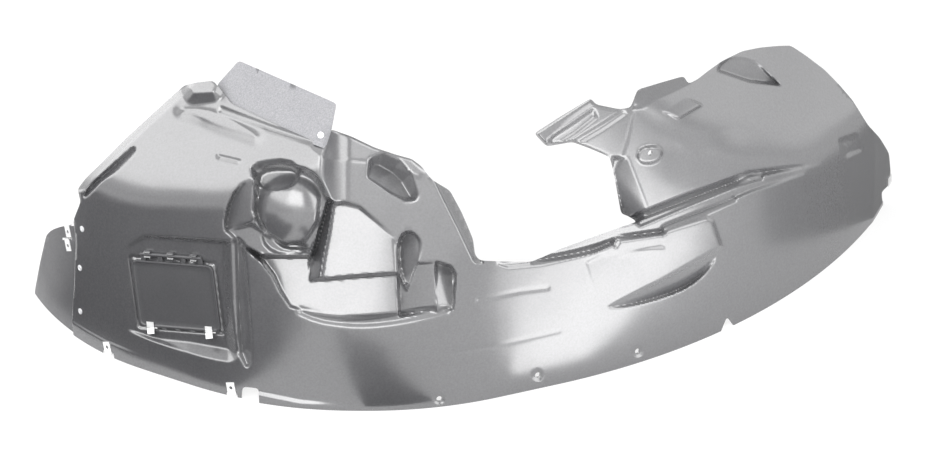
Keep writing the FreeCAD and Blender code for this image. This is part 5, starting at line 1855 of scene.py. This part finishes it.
@dataclass
class Studio:
    """Plain white floor, soft boxes and a long-lens camera at the picture's angle."""

    picture_width: float = 950 * PIXEL
    picture_middle: Point = (475, 235)
    depth: float = -60.0
    lens: float = 800.0
    sensor: float = 36.0
    floor_glow: float = 0.72
    world_light: float = 0.25
    boxes: Sequence[CurvedBox] = (
        CurvedBox("left_box", (-150, -40), (16, 48), 3.5),
        CurvedBox("middle_box", (-40, 5), (16, 52), 5.4),
        CurvedBox("front_box", (-22, 34), (2, 15), 1.4),
        CurvedBox("rear_left_box", (-180, -112), (1, 15), 3.0),
        CurvedBox("right_box", (38, 82), (1, 56), 3.8),
        CurvedBox("top_box", (-180, 180), (58, 90), 1.6),
        CurvedBox("rear_box", (98, 128), (1, 24), 1.7),
    )
    panels: Sequence[Panel] = (
        Panel("glow_panel", [(0.36, -0.52), (0.75, -0.5), (0.62, -0.165), (0.33, -0.222), (0.18, -0.222),
                             (0.09, -0.262)], 5.0),
        # The three dark panels below are dark sheets that only reflections see: painted shade in the shell's
        # reflections where the white floor would show, the rear one standing in for the floor in the shell's
        # shadow.
        Panel("dark_reflection_panel", [(-0.28, -0.24), (-0.37, -0.19), (-0.44, -0.14), (-0.51, -0.03), (-1.2, 0.1),
                             (-1.2, -0.8), (-0.30, -0.6)], 0.0),
        Panel("dark_rear_reflection_panel", [(0.51, -0.02), (0.75, 0.0), (0.8, 0.5), (0.47, 0.5), (0.47, 0.2)], 0.4),
        Panel("dark_reflection_strip", [(-0.115, -0.268), (-0.155, -0.41), (-0.205, -0.52), (-0.105, -0.52),
                             (-0.065, -0.41), (-0.03, -0.268)], 0.0),
    )
    floor_reach: float = 20.0
    near_clip: float = 1.0
    far_clip: float = 100.0

    def camera(self) -> None:
        """Camera that sees the draw plane square on."""
        x, v = place(*self.picture_middle)
        target = Vector(to_part(x, v, self.depth))
        distance = self.lens * self.picture_width / self.sensor * MM
        back = Vector((0, -ACROSS, UP))
        data = bpy.data.cameras.new("camera")
        data.lens = self.lens
        data.sensor_width = self.sensor
        data.clip_start = self.near_clip
        data.clip_end = self.far_clip
        made = linked("camera", data)
        made.location = target + back * distance
        made.rotation_euler = (-back).to_track_quat("-Z", "Y").to_euler()
        bpy.context.scene.camera = made

    def background_seen(self, tree: Tree) -> Socket:
        """1 for the rays that show the background: camera, glossy and transmission rays.

        Args:
            tree: the tree that asks.

        Returns:
            The share as a socket.
        """
        rays = add_node(tree, "ShaderNodeLightPath").outputs
        seen = rays["Is Camera Ray"]
        for kind in ("Is Glossy Ray", "Is Transmission Ray"):
            seen = add_node(tree, "ShaderNodeMath", {0: seen, 1: rays[kind]}, operation="MAXIMUM").outputs[0]
        return seen

    def emptied(self, owner: object) -> Tree:
        """The empty node tree of a material or world.

        Args:
            owner: the material or world.

        Returns:
            Its tree.
        """
        owner.use_nodes = True
        owner.node_tree.nodes.clear()
        return owner.node_tree

    def mixed(self, output: str, share: Socket, first: bpy.types.Node, second: bpy.types.Node) -> None:
        """End a tree in a mix of two shaders.

        Args:
            output: the type of the output node.
            share: the second shader's share.
            first, second: the two shaders.
        """
        tree = share.id_data
        mix = add_node(tree, "ShaderNodeMixShader", {0: share, 1: first.outputs[0], 2: second.outputs[0]})
        add_node(tree, output, {"Surface": mix.outputs[0]})

    def floor(self) -> None:
        """A wide white floor that keeps a faint shadow."""
        reach = self.floor_reach
        corners = [(-reach, -reach, 0), (reach, -reach, 0), (reach, reach, 0), (-reach, reach, 0)]
        made = object_from("floor", corners, [[0, 1, 2, 3]])
        material = bpy.data.materials.new("white_floor")
        tree = self.emptied(material)
        board = add_node(tree, "ShaderNodeBsdfDiffuse", {"Color": linear("#f4f4f4")})
        white = add_node(tree, "ShaderNodeEmission", {"Color": WHITE, "Strength": 1.0})
        share = add_node(tree, "ShaderNodeMath", {0: self.background_seen(tree), 1: self.floor_glow},
                         operation="MULTIPLY")
        self.mixed("ShaderNodeOutputMaterial", share.outputs[0], board, white)
        made.data.materials.append(material)

    def glowing(self, name: str, points: list, faces: list, radiance: float) -> None:
        """Set up one light, or a dark sheet that paints shade into reflections, that works from its front
        and that the camera doesn't see.

        Args:
            name: the light's name.
            points, faces: its mesh.
            radiance: how bright it is.
        """
        made = object_from(name, points, faces)
        material = bpy.data.materials.new(name)
        tree = self.emptied(material)
        glow = add_node(tree, "ShaderNodeEmission", {"Color": WHITE, "Strength": radiance})
        clear = add_node(tree, "ShaderNodeBsdfTransparent")
        back = add_node(tree, "ShaderNodeNewGeometry").outputs["Backfacing"]
        self.mixed("ShaderNodeOutputMaterial", back, glow, clear)
        made.data.materials.append(material)
        made.visible_camera = False
        made.visible_shadow = False

    def world(self) -> None:
        """A pale surround that is white to the camera and in reflections."""
        world = bpy.data.worlds.new("studio")
        bpy.context.scene.world = world
        tree = self.emptied(world)
        around, white = (add_node(tree, "ShaderNodeBackground", {"Color": WHITE, "Strength": strength})
                         for strength in (self.world_light, 1.0))
        self.mixed("ShaderNodeOutputWorld", self.background_seen(tree), around, white)

    def build(self) -> None:
        """Camera, floor, world, soft boxes and panels."""
        self.camera()
        self.floor()
        self.world()
        for box in self.boxes:
            self.glowing(box.name, *box.corners(), box.radiance)
        for panel in self.panels:
            points = [(x, y, panel.height) for x, y in panel.corners]
            self.glowing(panel.name, points, [list(range(len(points)))], panel.radiance)


def main() -> None:
    """Build the pieces in order, seat each on its body and light them."""
    logging.basicConfig(level=logging.INFO, format="%(message)s")
    bpy.context.scene.view_settings.view_transform = "Standard"
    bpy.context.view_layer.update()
    relief = Relief()
    lid = HatchLid(relief)
    shell = LinerShell(relief).build(lid)
    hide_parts("liner_shell")
    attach(shell, BODY)
    log.info("shell: %d faces", len(shell.data.polygons))
    lid_piece = lid.build()
    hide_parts("access_lid")
    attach(lid_piece, HATCH)
    log.info("lid: %d faces", len(lid_piece.data.polygons))
    flap, seal = BackSheets(relief).build()
    for made, node, slot in ((flap, "front_flap", "dark_sheet"), (seal, "seal_flap", "seal_sheet")):
        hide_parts(node)
        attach(made, BODY)
        log.info("%s: %d faces", made.name, len(made.data.polygons))
    fasteners = Fasteners(relief, lid)
    for made, nodes, slot, body in (
        (fasteners.build_rivets(), RIVET_NODES, "rivet_metal", BODY),
        (fasteners.build_nuts(), NUT_NODES, "spring_steel", BODY),
        (fasteners.build_clips(), CLIP_NODES, "spring_steel", HATCH),
    ):
        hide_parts(*nodes)
        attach(made, body)
        log.info("%s: %d faces", made.name, len(made.data.polygons))
    Studio().build()


if __name__ == "__main__":
    main()
